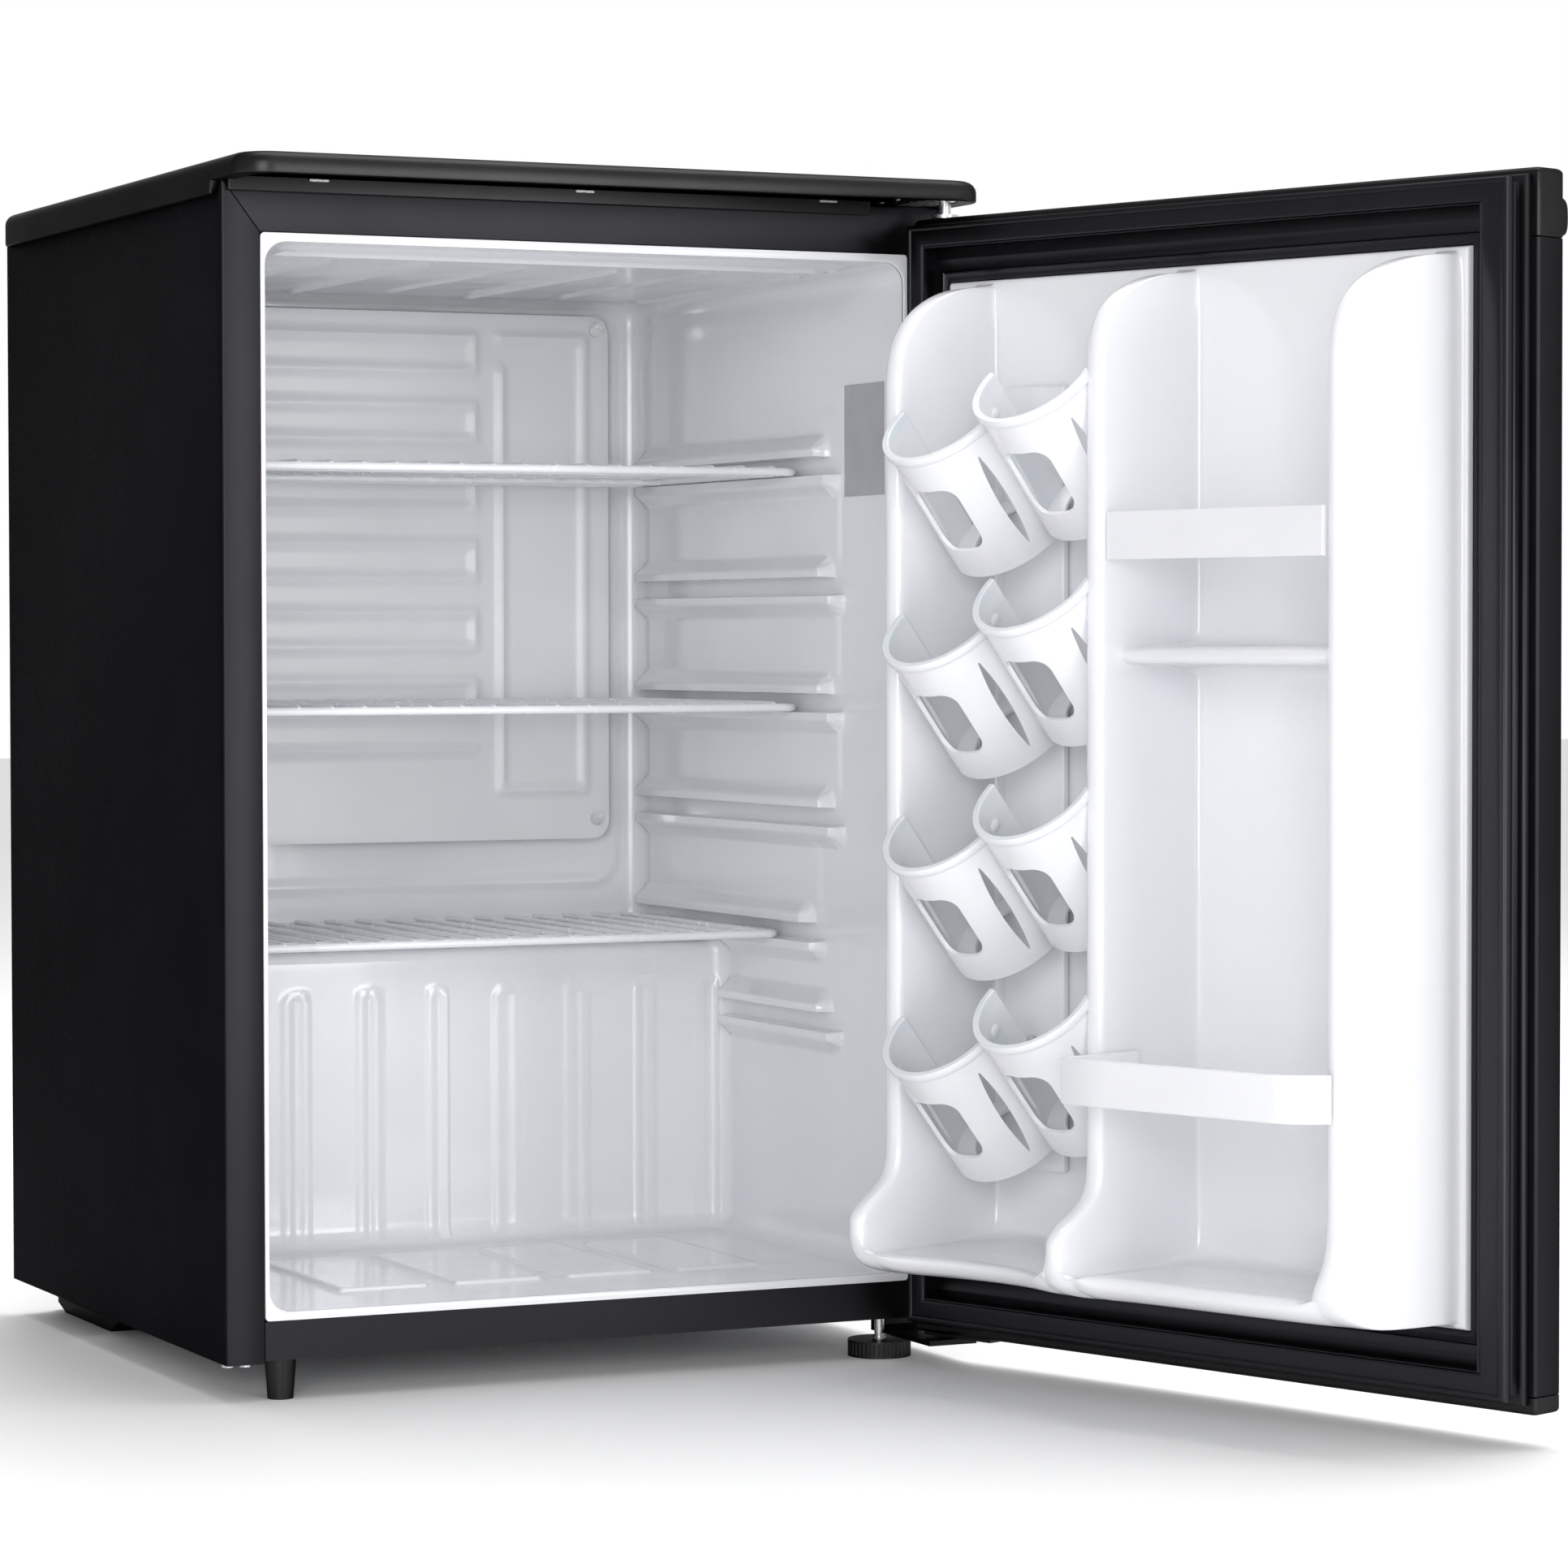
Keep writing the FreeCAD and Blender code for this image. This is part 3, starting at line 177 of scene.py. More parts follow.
WHITE = (0.80, 0.81, 0.84)
FINISHES = {
    "black_steel": moulded(
        "satin_black_paint", (0.024, 0.023, 0.026), 0.4, 0.1, 6, (700, 0.05), (60, 0.04), 0.04,
        metallic=1.0, edge_tint=0.345,
    ),
    "black_plastic": moulded(
        "satin_black_plastic", (0.034, 0.033, 0.034), 0.36, 0.1, 12, (1500, 0.04), (30, 0.05), 0.05,
        metallic=1.0, edge_tint=0.4,
    ),
    "white_liner": moulded(
        "glossy_white_sheet", WHITE, 0.16, 0.02, 5, (900, 0.01), (18, 0.5), 0.05,
        coat=0.25, subsurface=0.06,
    ),
    "white_plastic": moulded(
        "moulded_white_plastic", WHITE, 0.24, 0.02, 14, (1200, 0.012), (40, 0.12), 0.05,
        subsurface=0.1,
    ),
    "white_enamel": moulded(
        "white_powder_coat", (0.78, 0.79, 0.81), 0.3, 0.03, 10, (800, 0.05), (30, 0.1), 0.05
    ),
    "white_wire": moulded("coated_wire", (0.82, 0.83, 0.86), 0.26, 0.03, 30, (600, 0.03), (120, 0.1), 0.05),
    "gasket_rubber": moulded(
        "dark_grey_vinyl", (0.036, 0.036, 0.04), 0.36, 0.1, 5, (1100, 0.03), (24, 0.03), 0.05,
        metallic=1.0, edge_tint=0.38,
    ),
    "rubber": moulded(
        "matte_rubber", (0.02, 0.02, 0.02), 0.75, 0.2, 20, (900, 0.1), (60, 0.1), 0.1,
        specular=0.3,
    ),
    "foam": moulded("rigid_foam", (0.62, 0.52, 0.3), 0.9, 0.15, 40, (500, 0.6), (80, 0.6), 0.05),
    "zinc": moulded(
        "bright_zinc", (0.62, 0.62, 0.63), 0.28, 0.1, 60, (900, 0.03), (200, 0.05), 0.1,
        metallic=1.0,
    ),
    "copper": moulded(
        "drawn_copper", (0.72, 0.36, 0.22), 0.3, 0.18, 25, (700, 0.03), (90, 0.1), 0.12,
        metallic=1.0,
    ),
    "compressor_black": moulded(
        "black_enamel", (0.012, 0.012, 0.012), 0.34, 0.15, 14, (500, 0.08), (50, 0.2), 0.08,
        metallic=1.0, edge_tint=0.4,
    ),
    "grey_plate": moulded(
        "blank_grey_film", (0.42, 0.43, 0.45), 0.45, 0.06, 40, (1500, 0.02), (60, 0.05), 0.05
    ),
    "galvanised": spangled("zinc_coated_sheet", (0.42, 0.43, 0.45), 0.4),
}
FLOOR_FINISH = moulded("pale_floor", (0.93, 0.93, 0.93), 0.6, 0.01, 2, (300, 0.0), (10, 0.0), 0.03)

for subpart in frame["record"]["subparts"]:
    mesh = frame["nodes"][subpart["node"]].data
    mesh.materials.clear()
    mesh.materials.append(FINISHES[subpart["material_slot"]])


# Mesh tools
# ----------
class Shape:
    """Vertices and faces gathered in millimetres, then made into one piece."""

    def __init__(self):
        self.vertices = []
        self.faces = []

    def add(self, vertices, faces):
        """Adds a lump of mesh, with its faces numbered from its own first vertex."""
        start = len(self.vertices)
        self.vertices += [tuple(map(float, vertex)) for vertex in vertices]
        self.faces += [tuple(start + index for index in face) for face in faces]

    def loft(self, loops, closed=True, caps=True, around=False):
        """Adds a skin over loops with equal point counts; around joins the last loop to the first."""
        count = len(loops[0])
        faces = []
        spans = len(loops) if around else len(loops) - 1
        for row in range(spans):
            below, above = row * count, (row + 1) % len(loops) * count
            for step in range(count if closed else count - 1):
                ahead = (step + 1) % count
                faces.append((below + step, below + ahead, above + ahead, above + step))
        if caps and not around:
            last = (len(loops) - 1) * count
            faces.append(tuple(reversed(range(count))))
            faces.append(tuple(range(last, last + count)))
        self.add([point for loop in loops for point in loop], faces)

    def tube(self, path, radius, sides=12, closed=False):
        """Adds a round bar along a path of points."""
        points = [Vector(point) for point in path]
        turns = [2 * math.pi * step / sides for step in range(sides)]
        circle = [(math.cos(turn), math.sin(turn)) for turn in turns]
        loops = []
        side = None
        for number, point in enumerate(points):
            if closed:
                ahead, behind = points[(number + 1) % len(points)], points[number - 1]
            else:
                ahead, behind = neighbours(points, number)
            along = (ahead - behind).normalized()
            if side is None:
                side = along.orthogonal().normalized()
            side = (side - along * side.dot(along)).normalized()
            other = along.cross(side)
            loops.append([point + (side * cos + other * sin) * radius for cos, sin in circle])
        self.loft(loops, caps=not closed, around=closed)

    def slab(self, low, high, round_off, where=None):
        """Adds a box with rounded upright edges and softened ends; where moves each of its loops."""
        (x0, y0, z0), (x1, y1, z1) = low, high
        loops = []
        for inset, level in ((round_off, z0), (0, z0 + round_off), (0, z1 - round_off), (round_off, z1)):
            x_range, y_range = (x0 + inset, x1 - inset), (y0 + inset, y1 - inset)
            outline = rounded_rectangle(x_range, y_range, round_off * 1.5, 3)
            loops.append([(x, y, level) for x, y in outline])
        if where:
            loops = [where(loop) for loop in loops]
        self.loft(loops)

    def piece(self, name, slot, body, replaced, levels=0, weld=False, sharp=40):
        """Makes the piece, in metres, and rides it on its CAD body in place of the CAD nodes named.

        Edges over sharp, in degrees, stay crisp, unless levels of subdivision round the whole form.
        """
        mesh = bpy.data.meshes.new(name)
        mesh.from_pydata([tuple(value * MM for value in vertex) for vertex in self.vertices], [], self.faces)
        mesh.validate()
        outward = bmesh.new()
        outward.from_mesh(mesh)
        bmesh.ops.recalc_face_normals(outward, faces=outward.faces)
        outward.to_mesh(mesh)
        outward.free()
        mesh.polygons.foreach_set("use_smooth", [True] * len(mesh.polygons))
        obj = bpy.data.objects.new(name, mesh)
        bpy.context.scene.collection.objects.link(obj)
        if weld:
            modifier = obj.modifiers.new("weld", "WELD")
            modifier.merge_threshold = 0.02 * MM
        if levels:
            modifier = obj.modifiers.new("smooth_form", "SUBSURF")
            modifier.levels = modifier.render_levels = levels
        else:
            mesh.set_sharp_from_angle(angle=math.radians(sharp))
        mesh.materials.append(FINISHES[slot])
        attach(obj, body)
        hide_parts(*replaced)


def rounded_rectangle(x_range, y_range, radius, steps):
    """The outline of a rectangle with round corners, each of steps + 1 points, from the lower right one."""
    (x0, x1), (y0, y1) = x_range, y_range
    radius = min(radius, (x1 - x0) / 2, (y1 - y0) / 2)
    corners = (
        (x1 - radius, y0 + radius, -90),
        (x1 - radius, y1 - radius, 0),
        (x0 + radius, y1 - radius, 90),
        (x0 + radius, y0 + radius, 180),
    )
    return [
        (x + radius * math.cos(math.radians(turn)), y + radius * math.sin(math.radians(turn)))
        for x, y, start in corners
        for turn in (start + 90 * step / steps for step in range(steps + 1))
    ]


def blend_step(value, low, high):
    """0 below low, 1 above high and a smooth rise between."""
    share = np.clip((np.asarray(value, float) - low) / (high - low), 0, 1)
    return share * share * (3 - 2 * share)


def rectangle_distance(a, b, a_range, b_range):
    """Signed distance of the points (a, b) from a rectangle, negative inside it."""
    from_a = np.abs(a - sum(a_range) / 2) - (a_range[1] - a_range[0]) / 2
    from_b = np.abs(b - sum(b_range) / 2) - (b_range[1] - b_range[0]) / 2
    outside = np.hypot(np.maximum(from_a, 0), np.maximum(from_b, 0))
    return outside + np.minimum(np.maximum(from_a, from_b), 0)


def rounded_distance(a, b, a_range, b_range, corner):
    """Signed distance of the points (a, b) from a rectangle with round corners, negative inside it."""
    inner_a = (a_range[0] + corner, a_range[1] - corner)
    inner_b = (b_range[0] + corner, b_range[1] - corner)
    return rectangle_distance(a, b, inner_a, inner_b) - corner


def plateau(a, b, a_range, b_range, corner, slope):
    """1 on a rounded rectangle and 0 away from it, with a smooth flank."""
    return 1 - blend_step(rounded_distance(a, b, a_range, b_range, corner), -slope, 0)


def outline_ridge(a, b, a_range, b_range, corner, width):
    """1 on the outline of a rounded rectangle and 0 away from it."""
    edge = np.abs(rounded_distance(a, b, a_range, b_range, corner))
    return 1 - blend_step(edge, width * 0.2, width)


def grid_quads(index):
    """The corners of each cell of a grid of vertex numbers."""
    return np.stack([index[:-1, :-1], index[1:, :-1], index[1:, 1:], index[:-1, 1:]], axis=-1)


def neighbours(points, number):
    """The points after and before one on an open path, or the point itself at an end."""
    return points[min(number + 1, len(points) - 1)], points[max(number - 1, 0)]


# Inner liner
# -----------
LINER_HALF = 195.0
LINER_LOW, LINER_HIGH = 49.0, 637.0
LINER_BACK = 384.0
STEP_BACK, STEP_HIGH = 250.0, 229.0
LINER_ROUND = 12.5
STEP_SOFTNESS = 7.0
RIM_SIDE, RIM_ENDS, RIM_CORNER = 2.6, 4.6, 2.5
# the rim's section: (share of its width, depth, share of the way to square corners)
RIM_SECTION = ((0.12, -0.5, 0.0), (0.3, -0.8, 0.05), (0.5, -0.8, 0.5), (1.0, -0.5, 1.0), (1.0, 1.2, 1.0))
# shelf slots in the side walls: (height of the slot's floor, how far back its front end lies)
SLOTS = ((516.6, 83.0), (444.5, 77.0), (374.6, 78.0), (306.3, 77.0), (236.1, 104.0), (183.3, 80.0))
SLOT_HEIGHT = 11.7
LEDGE_DEPTH, LEDGE_HEIGHT, LEDGE_EDGE = 10.5, 13.5, 4.6
UPPER_LEDGE_SET_BACK = 14.0
FLOOR_PANELS = (-105.0, -35.0, 35.0, 105.0)
PANEL_HALF, PANEL_FRONT, PANEL_BACK = 27.5, 60.0, 203.0
BACK_RIBS = [-181.3 + 45.8 * number for number in range(9)]
BACK_RIB_HALF, BACK_RIB_ENDS = 5.2, (30, 205)
CEILING_RIBS = [-172.0 + 59.0 * number for number in range(7)]
CEILING_RIB_HALF, CEILING_RIB_ENDS = 3.4, (112, 360)
DRAIN_GROOVE = ((88, 196), (103.5, 116.5))
WALL_PITCH = 3.2


def liner_distance(points):
    """Signed distance from the cold compartment's rounded inside, negative within it."""
    x, y, z = points.T
    r = LINER_ROUND
    front_room = rectangle_distance(y, z, (-90, STEP_BACK - r), (LINER_LOW + r, STEP_HIGH + 120))
    upper_room = rectangle_distance(y, z, (-90, LINER_BACK - r), (STEP_HIGH + r, LINER_HIGH - r))
    share = np.clip(0.5 + 0.5 * (upper_room - front_room) / STEP_SOFTNESS, 0, 1)
    room = upper_room * (1 - share) + front_room * share - STEP_SOFTNESS * share * (1 - share)
    side = np.abs(x) - (LINER_HALF - r)
    outside = np.hypot(np.maximum(side, 0), np.maximum(room, 0))
    return outside + np.minimum(np.maximum(side, room), 0) - r


def gradient(points):
    """The outward direction of the compartment's inside at each point."""
    step = 0.05
    moves = step * np.eye(3)
    slopes = [liner_distance(points + move) - liner_distance(points - move) for move in moves]
    slopes = np.column_stack(slopes)
    return slopes / np.maximum(np.linalg.norm(slopes, axis=1, keepdims=True), 1e-9)


def ledge(y, z, edge, away, front):
    """One shelf ledge: full at its slot's edge, sloping to the wall away from it, with a round front."""
    rise = (z - edge) * away
    meets_step = min(edge, edge + away * LEDGE_HEIGHT) < STEP_HIGH
    back = STEP_BACK - 6 if meets_step else LINER_BACK - 10
    slope = np.clip((rise - LEDGE_EDGE) / (LEDGE_HEIGHT - LEDGE_EDGE), 0, 1)
    start = front + 12 * np.clip((rise - 2.5) / (LEDGE_HEIGHT - 2.5), 0, 1) ** 2
    share = blend_step(rise, -0.9, 0) * (1 - slope)
    return share * blend_step(y, start - 1, start + 2) * (1 - blend_step(y, back - 7, back))


def side_relief(y, z):
    """How far the shelf ledges and the shallow panels stand off a side wall, and the groove sinks in."""
    height = np.zeros_like(y)
    for floor, front in SLOTS:
        height = np.maximum(height, LEDGE_DEPTH * ledge(y, z, floor, -1, front))
        upper = ledge(y, z, floor + SLOT_HEIGHT, 1, front + UPPER_LEDGE_SET_BACK)
        height = np.maximum(height, LEDGE_DEPTH * upper)
    for (above, _), (below, front) in zip(SLOTS[:4], SLOTS[1:5]):
        panel = (below + SLOT_HEIGHT + 8, above - 8)
        height = np.maximum(height, 1.5 * plateau(y, z, (front + 3, LINER_BACK - 16), panel, 5, 4))
    return height - 1.2 * plateau(y, z, *DRAIN_GROOVE, 4.5, 2.4)


def back_relief(x, z):
    """The outline of a broad panel pressed into the upper back wall."""
    return 1.6 * outline_ridge(x, z, (-176, 176), (262, 628), 16, 5)


def lower_back_relief(x, z):
    """Upright ribs with round ends on the wall in front of the compressor."""
    height = np.zeros_like(x)
    for centre in BACK_RIBS:
        sides = (centre - BACK_RIB_HALF, centre + BACK_RIB_HALF)
        height = np.maximum(height, 1.7 * outline_ridge(x, z, sides, BACK_RIB_ENDS, BACK_RIB_HALF, 2.4))
    return height


def floor_relief(x, y):
    """Four raised panels on the floor."""
    height = np.zeros_like(x)
    for centre in FLOOR_PANELS:
        sides = (centre - PANEL_HALF, centre + PANEL_HALF)
        height = np.maximum(height, 2.4 * plateau(x, y, sides, (PANEL_FRONT, PANEL_BACK), 2.5, 2.2))
    return height


def ceiling_relief(x, y):
    """Ribs from front to back on the ceiling, behind one across the front."""
    height = np.zeros_like(x)
    for centre in CEILING_RIBS:
        sides = (centre - CEILING_RIB_HALF, centre + CEILING_RIB_HALF)
        height = np.maximum(height, 2.4 * plateau(x, y, sides, CEILING_RIB_ENDS, 3.2, 3.0))
    return np.maximum(height, 3.0 * outline_ridge(y, x, (30, 62), (-172, 172), 8, 4))


def grid_lines(low, high, details=()):
    """Grid lines from low to high, closer together near both ends and at the details between them."""
    count = max(2, round((high - low) / WALL_PITCH))
    extra = [low + 1.5, low + 4, high - 4, high - 1.5]
    extra += [value for value in details if low < value < high]
    return np.unique(np.round(np.concatenate([np.linspace(low, high, count + 1), extra]), 2))


def liner_grids():
    """The lines of the walls' grids: (across, lower room's depth, upper room's depth, low, upper)."""
    panel_sides = [
        centre + side * (PANEL_HALF + offset)
        for centre in FLOOR_PANELS
        for side in (-1, 1)
        for offset in (-2.2, -1.1, 0)
    ]
    panel_ends = [PANEL_FRONT, PANEL_FRONT + 1.1, PANEL_FRONT + 2.2, PANEL_BACK - 2.2, PANEL_BACK]
    ledge_fronts = [
        front + set_back + offset
        for _, front in SLOTS
        for set_back in (0, UPPER_LEDGE_SET_BACK)
        for offset in (-1, 0.5, 2)
    ]
    ledge_levels = [
        edge + away * offset
        for floor, _ in SLOTS
        for edge, away in ((floor, -1), (floor + SLOT_HEIGHT, 1))
        for offset in (-0.9, -0.45, 0, 1.2, 2.5, LEDGE_EDGE, LEDGE_HEIGHT)
    ]
    return (
        grid_lines(-LINER_HALF, LINER_HALF, panel_sides),
        grid_lines(0, STEP_BACK, panel_ends + ledge_fronts),
        grid_lines(STEP_BACK, LINER_BACK),
        grid_lines(LINER_LOW, STEP_HIGH, ledge_levels),
        grid_lines(STEP_HIGH, LINER_HIGH, ledge_levels),
    )


def liner_wall(rows, columns, place, relief, keep=None):
    """One wall as a grid: its sharp-cornered points from place, its relief and its faces."""
    a, b = np.meshgrid(rows, columns, indexing="ij")
    points = np.stack(place(a.ravel(), b.ravel()), axis=1)
    height = relief(a.ravel(), b.ravel())
    quads = grid_quads(np.arange(a.size).reshape(a.shape)).reshape(-1, 4)
    if keep is not None:
        middle_a = ((a[:-1, :-1] + a[1:, 1:]) / 2).ravel()
        middle_b = ((b[:-1, :-1] + b[1:, 1:]) / 2).ravel()
        quads = quads[keep(middle_a, middle_b)]
    return points, height, quads


def liner_walls():
    """The walls: two sides, the floor, the step's front and top, the back and the ceiling."""
    across, near, far, low, upper = liner_grids()
    deep = np.unique(np.concatenate([near, far]))
    tall = np.unique(np.concatenate([low, upper]))

    def side_wall(side):
        return liner_wall(
            deep,
            tall,
            lambda y, z: (np.full_like(y, side * LINER_HALF), y, z),
            side_relief,
            lambda y, z: (y < STEP_BACK) | (z > STEP_HIGH),
        )

    return [
        side_wall(-1),
        side_wall(1),
        liner_wall(across, near, lambda x, y: (x, y, np.full_like(x, LINER_LOW)), floor_relief),
        liner_wall(across, low, lambda x, z: (x, np.full_like(x, STEP_BACK), z), lower_back_relief),
        liner_wall(across, far, lambda x, y: (x, y, np.full_like(x, STEP_HIGH)), lambda x, y: 0 * x),
        liner_wall(across, upper, lambda x, z: (x, np.full_like(x, LINER_BACK), z), back_relief),
        liner_wall(across, deep, lambda x, y: (x, y, np.full_like(x, LINER_HIGH)), ceiling_relief),
    ]


def formed_walls(walls):
    """The walls joined and drawn on to the rounded form: points, faces and which are at the front."""
    points = np.concatenate([wall[0] for wall in walls])
    height = np.concatenate([wall[1] for wall in walls])
    starts = np.cumsum([0] + [len(wall[0]) for wall in walls[:-1]])
    quads = np.concatenate([wall[2] + start for wall, start in zip(walls, starts)])
    first, same = np.unique(np.round(points, 3), axis=0, return_index=True, return_inverse=True)[1:]
    same = same.ravel()
    points = points[first]
    relief = np.zeros(len(points))
    np.maximum.at(relief, same, height)
    quads = same[quads]
    front = points[:, 1] < 1e-6
    # each round brings the points closer to the rounded form
    for _ in range(5):
        move = gradient(points) * liner_distance(points)[:, None]
        move[front, 1] = 0
        points = points - move
    points = points - gradient(points) * relief[:, None]
    used = np.unique(quads)
    renumber = np.full(len(points), -1)
    renumber[used] = np.arange(len(used))
    return points[used], renumber[quads], front[used]


def rim_loops(ring):
    """The rim's loops: the front edge rolled outwards on to the cabinet's face, with squarer corners."""
    outward = gradient(ring)
    outward[:, 1] = 0
    centre = np.array([0, 0, (LINER_LOW + LINER_HIGH) / 2])
    half = np.array([LINER_HALF, 0, (LINER_HIGH - LINER_LOW) / 2])
    width = np.array([RIM_SIDE, 0, RIM_ENDS])
    inset = half - np.abs(ring - centre)
    in_corner = (inset[:, 0] < LINER_ROUND) & (inset[:, 2] < LINER_ROUND)
    square = centre + np.sign(ring - centre) * (half - RIM_CORNER + width) + outward * RIM_CORNER
    loops = [ring]
    for reach, forward, squareness in RIM_SECTION:
        loop = ring + outward * width * reach
        share = squareness * in_corner[:, None]
        loop = loop * (1 - share) + square * share
        loop[:, 1] = forward
        loops.append(loop)
    return loops


def make_inner_liner():
    """The vacuum-formed tub: seven walls on one rounded form, each with its own relief, and the rim."""
    points, quads, front = formed_walls(liner_walls())
    edge = points[front]
    angle = np.arctan2(edge[:, 2] - (LINER_LOW + LINER_HIGH) / 2, edge[:, 0])
    liner = Shape()
    liner.add(points, quads)
    liner.loft(rim_loops(edge[np.argsort(angle)]), caps=False)
    liner.piece("inner_liner_form", "white_liner", "root", ["inner_liner"], weld=True, sharp=60)


# Door liner
# ----------
FLANGE = 18.6
FLANGE_NEAR, FLANGE_FAR = 20.7, 390.4
FLANGE_LOW, FLANGE_HIGH = 58.8, 621.9
FLANGE_EDGE, FLANGE_SUNK = FLANGE - 1.0, FLANGE - 7.2
BAY_FLOOR, BOTTLE_LIP = 79.0, 2.6
SHELF_LOW, SHELF_HIGH = 405.0, 414.5
SHELF_NEAR, SHELF_FAR = 204.0, 372.0
# each dyke: (near side, far side, lean of its flanks, depth of its crest, depth of its foot, top's start)
DYKES = {
    "near": (43.0, 55.6, 3.2, 97.0, 127.5, 556.0),
    "divider": (193.0, 206.0, 3.2, 97.0, 131.0, 566.0),
    "free": (370.0, 383.0, 3.8, 112.0, 114.0, 560.0),
}
# the wavy front wall at the bottom: (across, depth)
FRONT_WALL = np.array(
    [(43, 127.5), (60, 124), (75, 114), (120, 108), (165, 114), (188, 127), (200, 131), (212, 124)]
    + [(232, 118), (300, 117), (370, 114), (384, 113)]
).T
# outside these the dykes' flanks face away from the bays
FIRST_FLANK_END, LAST_FLANK_START = 46.0, 379.0
# the free dyke's inner flank leans into the bottle bay at its foot
FREE_LEAN, FREE_LEAN_FROM, FREE_LEAN_HEIGHT = 8, 88, 22
# rise of a dyke's flank: (share of the dyke's depth, share of the flank's lean)
FLANK = ((0.0, 0.0), (0.035, 0.55), (0.11, 0.8), (0.9, 1.0), (0.975, 1.12))


def dyke_columns(group):
    """(across, share of the dyke's depth, group) from one side of a dyke to the other."""
    near, far, lean = DYKES[group][:3]
    columns = [(near - lean + lean * share, rise, group) for rise, share in FLANK]
    columns.append(((near + far) / 2, 1.0, group))
    columns += [(far + lean - lean * share, rise, group) for rise, share in reversed(FLANK)]
    return columns


def dyke_depth(high, group):
    """How far a dyke stands at a height: flared at its foot and rolled back to the flange at its top."""
    crest, foot, top = DYKES[group][3:]
    body = foot + (crest - foot) * blend_step(high, 97.0, 126.0)
    roll = np.clip((high - top) / (FLANGE_HIGH - 4 - top), 0, 1)
    return FLANGE + (body - FLANGE) * math.sqrt(1 - roll ** 2.6)


def shelf_front(across):
    """Depth of the bottle shelf's slanted front edge."""
    return np.interp(across, (205, 216, 232, 369), (80, 84, 90, 110))


def liner_rows():
    """The liner's rows from bottom to top: (height on the dykes, height in the bays, kind, rise)."""
    rows = [(FLANGE_LOW, FLANGE_LOW, "sunk", 0), (FLANGE_LOW, FLANGE_LOW, "edge", 0)]
    rows.append((FLANGE_LOW + 1.5, FLANGE_LOW + 1.5, "flange", 0))
    front = ((62.0, 62.0, 0.04), (62.8, 62.8, 0.3), (63.8, 63.8, 0.62), (66.0, 65.4, 0.76))
    front += ((69.3, 67.6, 0.87), (73.5, 70.4, 0.945), (78.5, 73.2, 0.98), (83.5, 75.8, 1.0))
    rows += [(high, bay_high, "front", rise) for high, bay_high, rise in front]
    floor = ((88.0, 77.6, 0.99), (90.5, 78.6, 0.965), (92.0, BAY_FLOOR, 0.93), (93.2, BAY_FLOOR, 0.5))
    floor += ((94.4, BAY_FLOOR, 0.12), (95.6, BAY_FLOOR + 1.2, 0.035), (97.0, BAY_FLOOR + 5, 0.0))
    rows += [(high, bay_high, "floor", rise) for high, bay_high, rise in floor]
    rows += [(high, high, "plain", 0) for high in (101, 106, 112, 118, 126, 150, 200, 260, 320, 370, 394)]
    shelf = ((SHELF_LOW - 6, 0.0), (SHELF_LOW - 1.0, 0.035), (SHELF_LOW, 0.12), (SHELF_LOW, 0.9))
    shelf += ((SHELF_LOW + 1.4, 0.985), ((SHELF_LOW + SHELF_HIGH) / 2, 1.0), (SHELF_HIGH - 1.4, 0.985))
    shelf += ((SHELF_HIGH, 0.9), (SHELF_HIGH, 0.12), (SHELF_HIGH + 1.0, 0.035), (SHELF_HIGH + 6, 0.0))
    levels = [SHELF_LOW - 7 + 2.4 * number for number in range(len(shelf))]
    rows += [(level, high, "shelf", rise) for level, (high, rise) in zip(levels, shelf)]
    upper = (432, 470, 520, 550, 562, 572, 581, 589, 596, 602, 607, 611, 614, 616.4, 617.9)
    rows += [(high, high, "plain", 0) for high in upper]
    rows.append((620.3, 620.3, "flange", 0))
    rows += [(FLANGE_HIGH, FLANGE_HIGH, "edge", 0), (FLANGE_HIGH, FLANGE_HIGH, "sunk", 0)]
    return rows


def liner_columns():
    """The liner's columns from the hinge side to the free side: (across, share of dyke's depth, group)."""
    columns = [(FLANGE_NEAR, 0, "rim")]
    columns += [(across, 0, "edge") for across in (FLANGE_NEAR, FLANGE_NEAR + 1.5, 30.0)]
    columns += dyke_columns("near")
    columns += [(across, 0, "cans") for across in (66, 90, 125, 160, 182)]
    columns += dyke_columns("divider")
    columns += [(across, 0, "bottles") for across in (216, 232, 262, 300, 335, 356)]
    columns += dyke_columns("free")
    columns += [(FLANGE_FAR - 2.5, 0, "edge"), (FLANGE_FAR, 0, "edge"), (FLANGE_FAR, 0, "rim")]
    return columns


